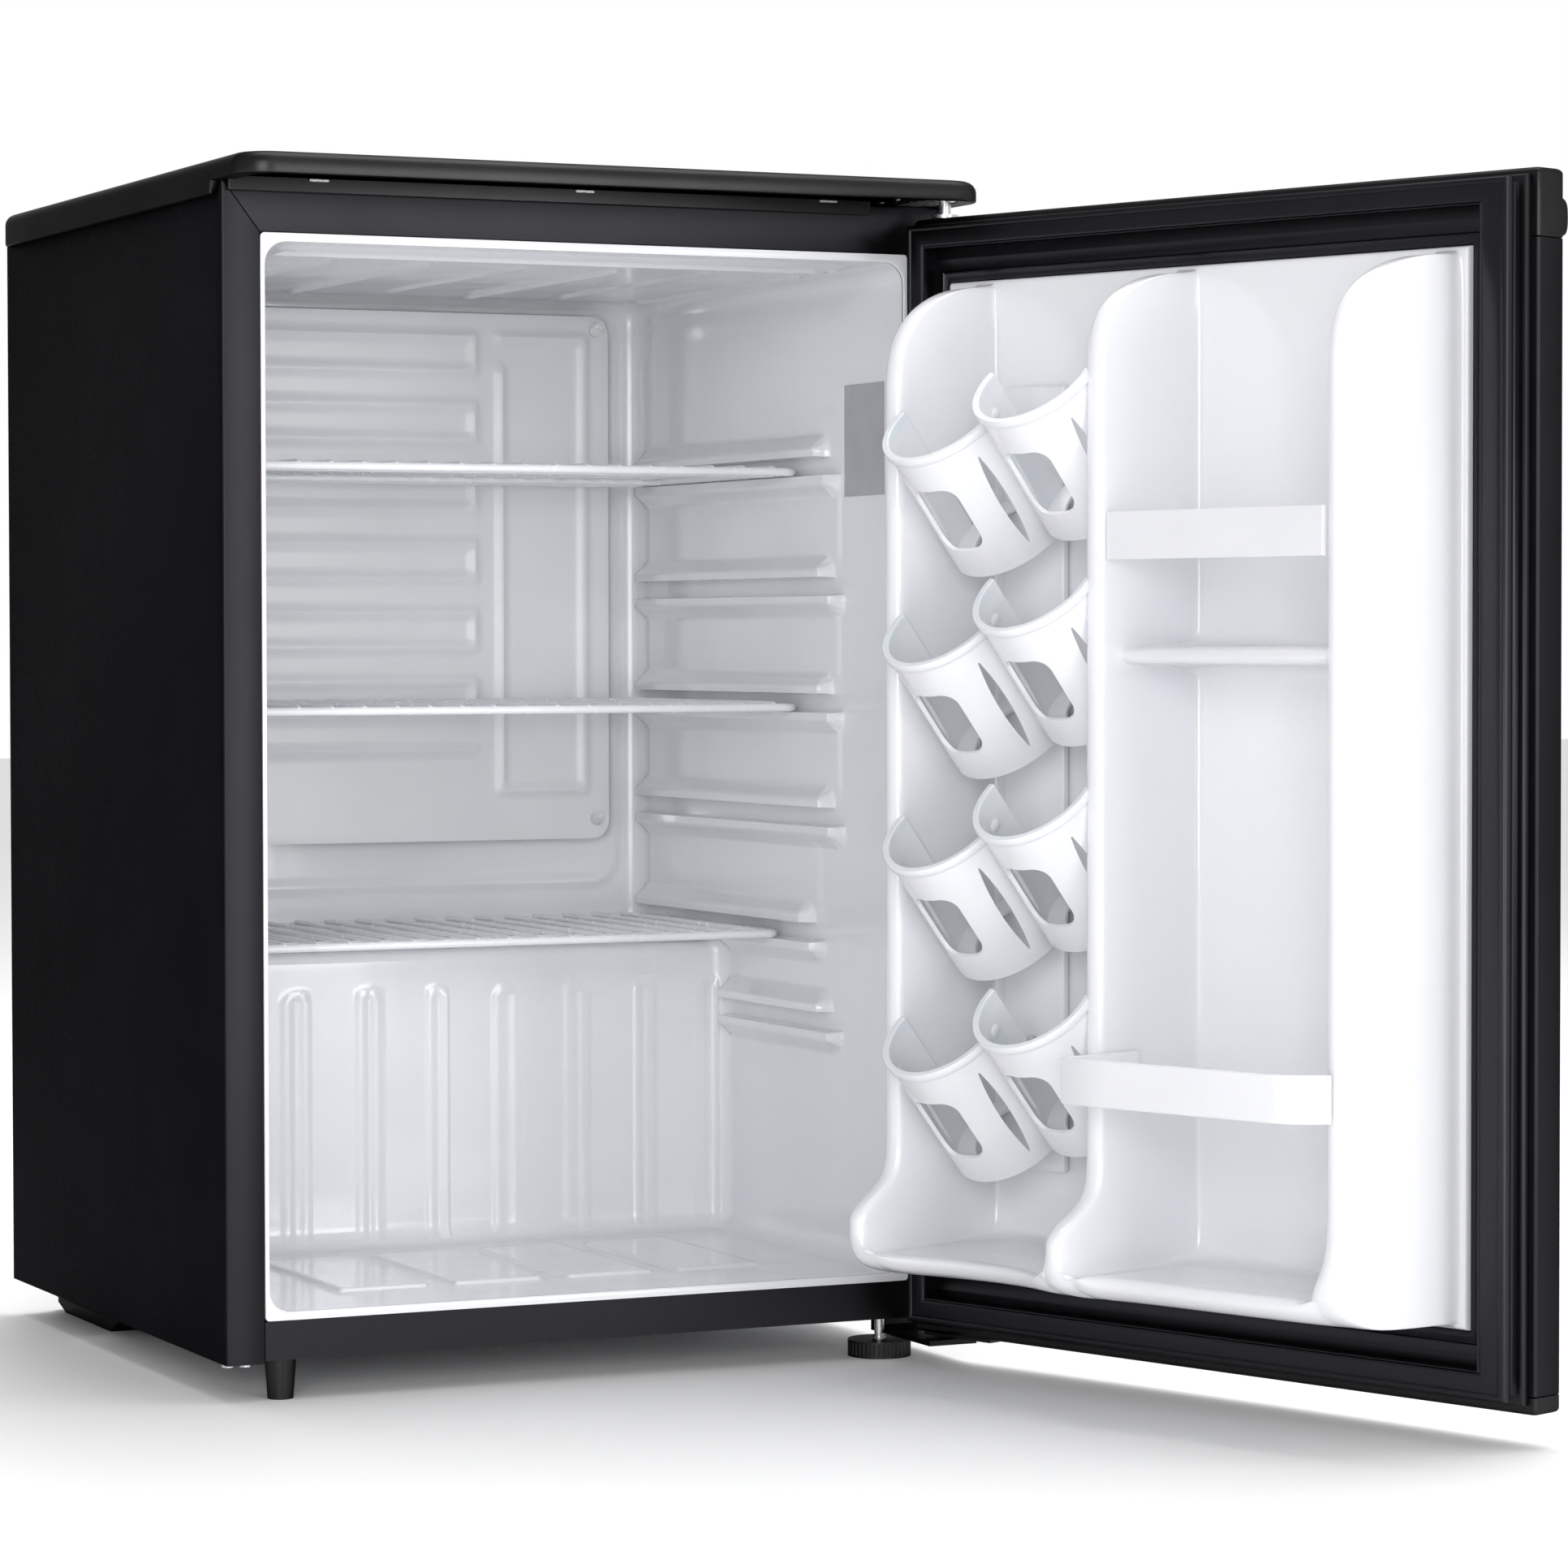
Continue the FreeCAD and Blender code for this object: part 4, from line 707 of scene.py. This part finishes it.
def liner_point(column, row):
    """A point of the door liner's cage where a column and a row cross."""
    across, share, group = column
    dyke_high, bay_high, kind, rise = row
    if kind == "sunk" or group == "rim":
        return across, FLANGE_SUNK, dyke_high
    if kind == "edge":
        return across, FLANGE_EDGE, dyke_high
    if kind == "flange" or group == "edge":
        return across, FLANGE, dyke_high
    in_bay = group in ("cans", "bottles")
    high = bay_high if in_bay else dyke_high
    dyke = 0 if in_bay else share * (dyke_depth(dyke_high, group) - FLANGE)
    outer_flank = across < FIRST_FLANK_END or across > LAST_FLANK_START
    reach = np.interp(across, *FRONT_WALL) - FLANGE
    if kind == "front":
        return across, FLANGE + rise * reach * (share if outer_flank else 1), high
    if group == "free" and not outer_flank:
        across -= FREE_LEAN * max(0, 1 - max(0, dyke_high - FREE_LEAN_FROM) / FREE_LEAN_HEIGHT) ** 2
    if kind == "floor" and not outer_flank and rise * reach > dyke:
        lip = BOTTLE_LIP if group == "bottles" and rise > 0.9 else 0
        return across, FLANGE + rise * reach, bay_high + lip
    if kind == "shelf" and SHELF_NEAR < across < SHELF_FAR:
        dyke = max(dyke, rise * (shelf_front(across) - FLANGE))
    return across, FLANGE + dyke, high


def make_door_liner():
    """The inner door: flange, three upright dykes, flared feet, bay floors and the bottle shelf."""
    liner = Shape()
    columns = liner_columns()
    loops = [on_door([liner_point(column, row) for column in columns]) for row in liner_rows()]
    liner.loft(loops, closed=False, caps=False)
    liner.piece("door_liner_form", "white_liner", "door", ["door_liner"], levels=2)


# Door gasket
# -----------
def frame_loops(outer, inner, profile):
    """Mitred rectangular loops on the door; profile is (share from outer to inner edge, depth)."""
    loops = []
    for share, deep in profile:
        near, far, low, high = (start + (end - start) * share for start, end in zip(outer, inner))
        loops.append(on_door([(near, deep, low), (far, deep, low), (far, deep, high), (near, deep, high)]))
    return loops


def make_gasket():
    """The magnetic seal: a ribbed base round the inner door and the bellows that meets the cabinet."""
    gasket = Shape()
    base = (
        (0.0, 10.9), (0.0, 14.6), (0.02, 15.6), (0.05, 16.0), (0.55, 16.0), (0.60, 16.6), (0.64, 16.0),
        (0.80, 16.0), (0.84, 17.4), (0.88, 16.0), (0.95, 16.0), (1.0, 15.2), (1.0, 10.9),
    )
    outer, inner = (-12.5, 424.5, 23.0, 656.5), (20.3, 390.8, 58.4, 622.3)
    gasket.loft(frame_loops(outer, inner, base), caps=False, around=True)
    bellows = (
        (0.12, 15.9), (0.20, 16.8), (0.24, 19.0), (0.20, 21.2), (0.06, 22.6), (0.01, 24.0), (0.0, 26.2),
        (0.02, 28.4), (0.08, 29.6), (0.16, 29.9), (0.22, 29.6), (0.26, 29.0), (0.30, 29.4), (0.36, 29.7),
        (0.80, 29.7), (0.88, 29.4), (0.91, 28.7), (0.94, 29.3), (0.98, 29.1), (1.0, 28.2), (0.99, 25.0),
        (0.94, 21.6), (0.97, 18.8), (0.93, 15.9),
    )
    outer, inner = (-3.0, 423.0, 26.0, 655.0), (11.0, 405.0, 41.0, 641.0)
    gasket.loft(frame_loops(outer, inner, bellows), caps=False, around=True)
    gasket.piece("door_seal", "gasket_rubber", "door", ["door_gasket"], sharp=50)


# Cabinet wrap and door panel
# ---------------------------
def make_cabinet_wrap():
    """The painted steel wrap: sides, top and the flange folded round the front, mitred at the corners."""
    low, high = node_box("cabinet_shell")
    opening = node_box("inner_liner")[1]
    side_flange, top_flange = high.x - opening.x - 0.3, high.z - opening.z - 0.3
    sheet, seam, groove = 0.9, 0.45, 0.8
    outer = [(0, 0, high.y), (0, 0, 8.0), (0, 0, 1.6), (0.15, 0.15, 0.9), (0.5, 0.5, 0.35), (1.0, 1.0, 0.08)]
    face = [(1.6, 1.6, 0.0), (side_flange - 0.5, top_flange - 0.5, 0.0), (side_flange, top_flange, 0.3)]
    inner = [(side_flange, top_flange, sheet), (2 * sheet, 2 * sheet, sheet), (sheet, sheet, 2 * sheet)]
    section = outer + face + inner + [(sheet, sheet, high.y)]
    places = [(low.x + inset, high.z - drop, y) for inset, drop, y in section]
    # up from the foot, over the seam's groove in the front face and on to the top
    half = [
        [(x, y, low.z) for x, z, y in places],
        [(x, y, z - seam) for x, z, y in places],
        [(x + seam / 4, y + groove if y < sheet else y, z - seam / 4) for x, z, y in places],
        [(x + seam, y, z) for x, z, y in places],
    ]
    mirrored = [[(-x, y, z) for x, y, z in loop] for loop in reversed(half)]
    wrap = Shape()
    wrap.loft(half + mirrored)
    wrap.piece("cabinet_wrap", "black_steel", "root", ["cabinet_shell"])


DOOR_NEAR, DOOR_FAR = -14.8, 429.1
DOOR_FRONT, DOOR_REAR = -10.8, 10.7
DOOR_CROWN = 4.0
PULL_LOW, PULL_HIGH, PULL_PROUD = 625.9, 644.7, 4.5


def door_loop(level, inset=0.0):
    """One loop round the door panel: crowned at the front, flat at the back, with the pull's swell."""
    near, far = DOOR_NEAR + inset, DOOR_FAR - inset
    outline = rounded_rectangle((near, far), (DOOR_FRONT + inset, DOOR_REAR - inset), 1.8, 4)
    outline += [(across, DOOR_FRONT + inset) for across in np.linspace(near + 4, far - 4, 25)]
    middle, half = (DOOR_NEAR + DOOR_FAR) / 2, (DOOR_FAR - DOOR_NEAR) / 2
    height = abs(level - (PULL_LOW + PULL_HIGH) / 2) / ((PULL_HIGH - PULL_LOW) / 2)
    swell = PULL_PROUD * math.sqrt(max(0.0, 1 - height ** 3.2))
    points = []
    for across, deep in outline:
        if deep < 0:
            deep -= DOOR_CROWN * (1 - ((across - middle) / half) ** 2) + swell
        points.append((across, deep, level))
    return on_door(points)


def make_door_panel():
    """The door's steel skin between its moulded top and bottom caps.

    Each section is (rise, inset): a rise counts from the part's foot, or from its top where negative.
    """
    edge = 0.35
    foot, top = ((0, edge), (edge, 0)), ((-edge, 0), (-0.001, edge))
    rounded_foot = ((0, 2.0), (0.5, 0.8), (1.5, 0.15), (2.6, 0))
    rounded_top = ((-3.0, 0), (-1.9, 0.2), (-0.9, 0.9), (-0.3, 1.8), (-0.001, 2.8))
    pull_rises = (1.1, 1.3, 1.7, 2.6, 4.2, 7, 11, 15, 17.3, 18.7, 19.4, 19.8, 20.4)
    parts = (
        ("door_skin", "black_steel", foot + top),
        ("door_bottom_cap", "black_plastic", rounded_foot + top),
        ("door_top_cap", "black_plastic", foot + tuple((rise, 0) for rise in pull_rises) + rounded_top),
    )
    for node, slot, section in parts:
        low, high = node_box(node)
        panel = Shape()
        panel.loft([door_loop((low.z if rise >= 0 else high.z) + rise, inset) for rise, inset in section])
        panel.piece(f"{node}_form", slot, "door", [node])


# Worktop cover
# -------------
def cover_loop(inset_side, inset_front, level, corner, skirt=None):
    """One loop round the worktop; skirt is the lower level that the sides drop to behind the lip."""
    low, high = node_box("worktop_cover")
    x_range = (low.x + inset_side, high.x - inset_side)
    y_range = (low.y + inset_front, high.y - inset_side)
    steps = 10
    first, last = steps + 1, 3 * (steps + 1)
    outline = rounded_rectangle(x_range, y_range, corner, steps)
    # more points along the sides, closest where the lip turns into the skirt
    stops = [y_range[0] + corner + 2, 3.0, 4.5, 6.0, 7.5, 9.0, 60.0, 200.0, 330.0]
    right = [(x_range[1], y) for y in stops]
    left = [(x_range[0], y) for y in reversed(stops)]
    outline = outline[:first] + right + outline[first:last] + left + outline[last:]
    drop = 0 if skirt is None else skirt - level
    return [(x, y, level + drop * float(blend_step(y, 4.0, 8.0))) for x, y in outline]


def make_cover():
    """The moulded worktop with a rolled edge, a deep front lip and side skirts."""
    top, lip, skirt, edge_radius = 681.5, 669.3, 662.0, 6.5
    cover = Shape()
    loops = [
        cover_loop(13.5, 7.0, 677.4, 12.0),
        cover_loop(12.5, 6.0, lip + 2.0, 13.0),
        cover_loop(11.6, 5.2, lip + 0.3, 14.0),
        cover_loop(3.2, 3.6, lip, 15.5, skirt),
        cover_loop(1.0, 1.0, lip, 18.0, skirt),
        cover_loop(0.25, 0.25, lip + 0.5, 18.7, skirt + 0.5),
        cover_loop(0.0, 0.0, lip + 1.6, 19.0, skirt + 1.6),
        cover_loop(0.0, 0.0, top - edge_radius, 19.0),
    ]
    for turn in (20, 40, 58, 74, 90):
        angle = math.radians(turn)
        inset = edge_radius * (1 - math.cos(angle))
        loops.append(cover_loop(inset, inset, top - edge_radius * (1 - math.sin(angle)), 19.0 - inset * 0.6))
    cover.loft(loops)
    # the low wall behind the front lip
    cover.slab((-217.0, -3.4, 663.5), (173.0, -0.8, 672.0), 0.6)
    cover.piece("worktop_form", "black_plastic", "root", ["worktop_cover"])


# Can dispenser
# -------------
CAN_TILT = math.radians(42)
CUP_RADIUS, CUP_WALL = 33.6, 2.2
CUP_LENGTH, CUP_REACH = 85.0, math.radians(100)
CUP_STEPS_ROUND, CUP_STEPS_UP = 84, 48
WINDOW_ARC, WINDOW_ALONG, WINDOW_CORNER = (-16, 16), (19, 62), 9
SLIT_ARC, SLIT_MIDDLE, SLIT_HALF_LENGTH, SLIT_HALF_WIDTH = 37.5, 40, 33, 3.2
CAN_COLUMNS = ((91.0, 570.0), (159.0, 589.0))
CAN_ROWS = 4
CAN_PITCH, CAN_LENGTH, LID_DEPTH = 112.0, 125.0, 125.0


def cup_point(base, turn, radius, along):
    """A point in a cup: turn is the angle from the cup's lowest line, along is up the can's axis."""
    axis = np.array([0, math.sin(CAN_TILT), math.cos(CAN_TILT)])
    down = np.array([0, math.cos(CAN_TILT), -math.sin(CAN_TILT)])
    across = np.array([1.0, 0, 0])
    return base + axis * along + radius * (down * math.cos(turn) + across * math.sin(turn))


def cup_open(arc, along):
    """Signed distance from the cup's openings in its flat pattern, negative inside a window or slit."""
    window = rounded_distance(arc, along, WINDOW_ARC, WINDOW_ALONG, WINDOW_CORNER)
    from_middle = along - SLIT_MIDDLE
    half = SLIT_HALF_WIDTH * np.clip(1 - (from_middle / SLIT_HALF_LENGTH) ** 2, 0, 1)
    beside = np.abs(from_middle) < SLIT_HALF_LENGTH
    slits = [np.where(beside, np.abs(arc - side * SLIT_ARC) - half, 5.0) for side in (-1, 1)]
    return np.minimum(window, np.minimum(*slits))


def add_cup_wall(rack, base, arcs):
    """The cup's wall: both skins and the edges of its window and slits."""
    levels = np.linspace(0, CUP_LENGTH, CUP_STEPS_UP + 1)
    turn, along = np.meshgrid(arcs, levels, indexing="ij")
    flat = turn * (CUP_RADIUS + CUP_WALL)
    middle_flat = (flat[:-1, :-1] + flat[1:, 1:]) / 2
    middle_along = (along[:-1, :-1] + along[1:, 1:]) / 2
    solid = cup_open(middle_flat, middle_along) > 0
    # vertices next to an opening slide on to its outline
    step = 0.05
    for _ in range(4):
        gap = cup_open(flat, along)
        slope_flat = (cup_open(flat + step, along) - cup_open(flat - step, along)) / (2 * step)
        slope_along = (cup_open(flat, along + step) - cup_open(flat, along - step)) / (2 * step)
        close = np.abs(gap) < 1.1
        flat = flat - np.where(close, gap * slope_flat, 0)
        along = along - np.where(close, gap * slope_along, 0)
    places = list(zip((flat / (CUP_RADIUS + CUP_WALL)).ravel(), along.ravel()))
    outer = [cup_point(base, angle, CUP_RADIUS + CUP_WALL, height) for angle, height in places]
    inner = [cup_point(base, angle, CUP_RADIUS, height) for angle, height in places]
    count = flat.size
    quads = grid_quads(np.arange(count).reshape(flat.shape))[solid]
    edges = dict.fromkeys((start, end) for quad in quads for start, end in zip(quad, np.roll(quad, -1)))
    sides = [(start, end) for start, end in edges if (end, start) not in edges]
    faces = [tuple(quad) for quad in quads]
    faces += [tuple(count + index for index in reversed(quad)) for quad in faces]
    faces += [(end, start, count + start, count + end) for start, end in sides]
    rack.add(on_door(outer + inner), faces)


def add_cup(rack, base):
    """One cup: its wall, the thicker band round its mouth and the ring that the can stands on."""
    arcs = np.linspace(-CUP_REACH, CUP_REACH, CUP_STEPS_ROUND + 1)
    add_cup_wall(rack, base, arcs)
    band = (
        (CUP_RADIUS, CUP_LENGTH - 5),
        (CUP_RADIUS + CUP_WALL + 1.0, CUP_LENGTH - 4.6),
        (CUP_RADIUS + CUP_WALL + 1.6, CUP_LENGTH - 3.6),
        (CUP_RADIUS + CUP_WALL + 1.6, CUP_LENGTH - 0.6),
        (CUP_RADIUS + CUP_WALL + 1.0, CUP_LENGTH + 0.4),
        (CUP_RADIUS + 0.4, CUP_LENGTH + 0.4),
        (CUP_RADIUS - 0.2, CUP_LENGTH - 0.4),
    )
    rack.loft([on_door([cup_point(base, arc, radius, along) for radius, along in band]) for arc in arcs])
    turns = [2 * math.pi * number / 48 for number in range(48)]
    ring = ((CUP_RADIUS + 0.2, 0.0), (CUP_RADIUS + 0.2, 2.6), (24.0, 2.6), (22.5, 1.8), (22.5, 0.0))
    loops = [on_door([cup_point(base, turn, radius, along) for turn in turns]) for radius, along in ring]
    rack.loft(loops, caps=False, around=True)


def make_can_rack():
    """Eight tilted cups with windows and side slits, joined edge to edge on two back straps."""
    rack = Shape()
    can = np.array([0, math.sin(CAN_TILT), math.cos(CAN_TILT)]) * CAN_LENGTH
    for column, top in CAN_COLUMNS:
        for row in range(CAN_ROWS):
            add_cup(rack, np.array([column, LID_DEPTH, top - row * CAN_PITCH]) - can)
    for column, top in CAN_COLUMNS:
        low, high = (column - 23, FLANGE + 0.4, top - 450), (column + 23, FLANGE + 5.8, top - 10)
        rack.slab(low, high, 1.2, on_door)
    rack.piece("can_dispenser", "white_plastic", "door", ["can_rack"], sharp=35)


# Evaporator
# ----------
SERPENTINE_ROWS, SERPENTINE_PITCH, SERPENTINE_TOP = 13, 22, 612
SERPENTINE_NEAR, SERPENTINE_FAR = -150, 74
RETURN_CHANNEL = [(93, 590), (93, 322), (150, 322), (150, 612), (93, 612)]
SHEET, CHANNEL_RISE, SHEET_CORNER = 2.0, 2.8, 12.0


def channel_distance(x, z):
    """Distance of the points from the middle of the evaporator's channels."""
    serpentine = []
    for number in range(SERPENTINE_ROWS):
        ends = (SERPENTINE_NEAR, SERPENTINE_FAR)[:: 1 if number % 2 == 0 else -1]
        serpentine += [(end, SERPENTINE_TOP - SERPENTINE_PITCH * number) for end in ends]
    nearest = np.full_like(x, 1000.0)
    for line in (serpentine, RETURN_CHANNEL):
        for (x0, z0), (x1, z1) in zip(line, line[1:]):
            run, rise = x1 - x0, z1 - z0
            along = np.clip(((x - x0) * run + (z - z0) * rise) / (run ** 2 + rise ** 2), 0, 1)
            nearest = np.minimum(nearest, np.hypot(x - x0 - along * run, z - z0 - along * rise))
    return nearest


def make_evaporator():
    """The roll-bonded plate: a thin sheet with its channels blown up as soft ridges."""
    low, high = node_box("evaporator_plate")
    back = high.y - 0.6
    face = back - SHEET
    x, z = np.meshgrid(np.linspace(low.x, high.x, 141), np.linspace(low.z, high.z, 141), indexing="ij")
    # points outside a round corner are pulled in to it
    middle_x, middle_z = (low.x + high.x) / 2, (low.z + high.z) / 2
    from_x = np.abs(x - middle_x) - ((high.x - low.x) / 2 - SHEET_CORNER)
    from_z = np.abs(z - middle_z) - ((high.z - low.z) / 2 - SHEET_CORNER)
    reach = np.hypot(from_x, from_z)
    outside = (from_x > 0) & (from_z > 0) & (reach > SHEET_CORNER)
    pull = np.where(outside, SHEET_CORNER / np.maximum(reach, 1), 1.0)
    x = x - np.sign(x - middle_x) * from_x * (1 - pull)
    z = z - np.sign(z - middle_z) * from_z * (1 - pull)
    edge = np.zeros_like(x, bool)
    edge[[0, -1], :] = edge[:, [0, -1]] = True
    ridge = CHANNEL_RISE * (1 - blend_step(channel_distance(x, z), 0.5, 5.5))
    front = np.stack([x, face - np.where(edge, -0.4, ridge), z], axis=-1).reshape(-1, 3)
    behind = np.stack([x, np.full_like(x, back), z], axis=-1).reshape(-1, 3)
    index = np.arange(x.size).reshape(x.shape)
    quads = [tuple(quad) for quad in grid_quads(index).reshape(-1, 4)]
    quads += [tuple(x.size + place for place in reversed(quad)) for quad in quads]
    ring = np.concatenate([index[:-1, 0], index[-1, :-1], index[:0:-1, -1], index[0, :0:-1]])
    quads += [(a, b, x.size + b, x.size + a) for a, b in zip(ring, np.roll(ring, -1))]
    plate = Shape()
    plate.add(np.concatenate([front, behind]), quads)
    plate.piece("evaporator_sheet", "white_enamel", "root", ["evaporator_plate"])


# Shelves and the lower guard
# ---------------------------
def make_shelf(node):
    """A coated wire shelf: frame with round corners, two cross wires and the grid on top."""
    low, high = node_box(node)
    shelf = Shape()
    frame_wire, cross_wire, grid_wire, pitch = 2.5, 2.0, 1.5, 20.2
    level = low.z + frame_wire
    left, right = low.x + frame_wire, high.x - frame_wire
    front, back = low.y + frame_wire, high.y - frame_wire
    outline = rounded_rectangle((left, right), (front, back), 9.0, 6)
    shelf.tube([(x, y, level) for x, y in outline], frame_wire, 14, closed=True)
    for y in (low.y + 32.5, high.y - 36.5):
        shelf.tube([(left, y, level - 0.4), (right, y, level - 0.4)], cross_wire)
    count = int((high.x - low.x - 4 * frame_wire) // pitch)
    for number in range(count):
        x = (number - (count - 1) / 2) * pitch
        path = [(x, front - 1.0, level + 1.2), (x, front + 0.6, level + 2.1), (x, front + 4, level + 2.4)]
        path += [(x, back - 4, level + 2.4), (x, back - 0.6, level + 2.1), (x, back + 1.0, level + 1.2)]
        shelf.tube(path, grid_wire, 10)
    shelf.piece(f"{node}_wires", "white_wire", node, [node])


def ribbon(shape, path, low, high, thick, round_off):
    """Adds an upright flat bar along a door path of (across, deep) points."""
    foot, top = low + round_off, high - round_off
    section = ((1, foot), (1, top), (0.5, high), (-0.5, high))
    section += ((-1, top), (-1, foot), (-0.5, low), (0.5, low))
    points = [Vector((across, deep, 0)) for across, deep in path]
    loops = []
    for number, point in enumerate(points):
        ahead, behind = neighbours(points, number)
        along = (ahead - behind).normalized()
        side = Vector((-along.y, along.x, 0)) * (thick / 2)
        cross = [(point + side * share, level) for share, level in section]
        loops.append(on_door([(place.x, place.y, level) for place, level in cross]))
    shape.loft(loops)


def make_bail():
    """The deep bail at the bottom of the bottle bay, bent round on to the free dyke."""
    low, high = 172.5, 197.5
    path = [(208.2, 70), (208.2, 90), (208.2, 126.5), (208.8, 128.8), (210.6, 130), (240, 130), (300, 130)]
    path += [(352, 130), (358, 129.2), (363, 127.5), (367.4, 124.6), (371, 121), (373, 118.4)]
    path += [(375, 115.6), (377.8, 114.4)]
    bail = Shape()
    ribbon(bail, path, low, high, thick=3.0, round_off=0.7)
    bail.piece("lower_guard_bail", "white_plastic", "lower_guard", ["lower_guard"])


# Stage, lights and camera
# ------------------------
def make_floor():
    """A plain pale floor that runs out of view, with no walls."""
    mesh = bpy.data.meshes.new("pale_floor")
    far = 14.0
    mesh.from_pydata([(-far, -far, 0), (far, -far, 0), (far, far, 0), (-far, far, 0)], [], [(0, 1, 2, 3)])
    floor = bpy.data.objects.new("pale_floor", mesh)
    bpy.context.scene.collection.objects.link(floor)
    mesh.materials.append(FLOOR_FINISH)


def area_light(name, place, target, size, power):
    """A square soft light that faces its target."""
    data = bpy.data.lights.new(name, "AREA")
    data.size = size
    data.energy = power
    light = bpy.data.objects.new(name, data)
    light.location = place
    light.rotation_euler = (Vector(target) - Vector(place)).to_track_quat("-Z", "Y").to_euler()
    bpy.context.scene.collection.objects.link(light)


def make_world():
    """A bright even surround that falls off towards the left, as a studio wall away from lamps does."""
    world = bpy.data.worlds.new("studio")
    bpy.context.scene.world = world
    world.use_nodes = True
    nodes, links = world.node_tree.nodes, world.node_tree.links
    direction = nodes.new("ShaderNodeTexCoord")
    split = nodes.new("ShaderNodeSeparateXYZ")
    fall = nodes.new("ShaderNodeMapRange")
    fall.interpolation_type = "SMOOTHSTEP"
    for name, value in (("From Min", -0.45), ("From Max", 0.22), ("To Min", 0.42), ("To Max", 1.0)):
        fall.inputs[name].default_value = value
    links.new(direction.outputs["Generated"], split.inputs["Vector"])
    links.new(split.outputs["X"], fall.inputs["Value"])
    links.new(fall.outputs["Result"], nodes["Background"].inputs["Strength"])
    nodes["Background"].inputs["Color"].default_value = (1, 1, 1, 1)


def make_lights():
    """The surround, a soft key light, a fill light in front and a large light above for the floor."""
    make_world()
    area_light("key", (-1.65, -2.9, 0.85), (0, 0.1, 0.35), 1.5, 45)
    area_light("front_fill", (0.95, -3.0, 0.5), (0.0, 0.3, 0.35), 1.1, 23)
    area_light("floor_wash", (0.9, 0.6, 3.4), (0.0, -0.6, 0.0), 3.0, 105)
    bpy.context.scene.view_settings.view_transform = "Standard"


def make_camera():
    """The camera at the reference viewing angle, level to within two degrees."""
    yaw, pitch, roll = math.radians(25.331), math.radians(-1.731), math.radians(-0.097)
    data = bpy.data.cameras.new("camera")
    data.sensor_width = 36.0
    data.lens = 111.7
    camera = bpy.data.objects.new("camera", data)
    look = Vector((math.sin(yaw) * math.cos(pitch), math.cos(yaw) * math.cos(pitch), math.sin(pitch)))
    turn = look.to_track_quat("-Z", "Y").to_matrix().to_4x4() @ Matrix.Rotation(roll, 4, "Z")
    camera.matrix_world = Matrix.Translation((-1.0793, -2.5298, 0.4201)) @ turn
    bpy.context.scene.collection.objects.link(camera)
    bpy.context.scene.camera = camera


make_inner_liner()
make_door_liner()
make_gasket()
make_cabinet_wrap()
make_door_panel()
make_cover()
make_can_rack()
make_evaporator()
for shelf_node in ("upper_shelf", "middle_shelf", "lower_shelf"):
    make_shelf(shelf_node)
make_bail()
make_floor()
make_lights()
make_camera()
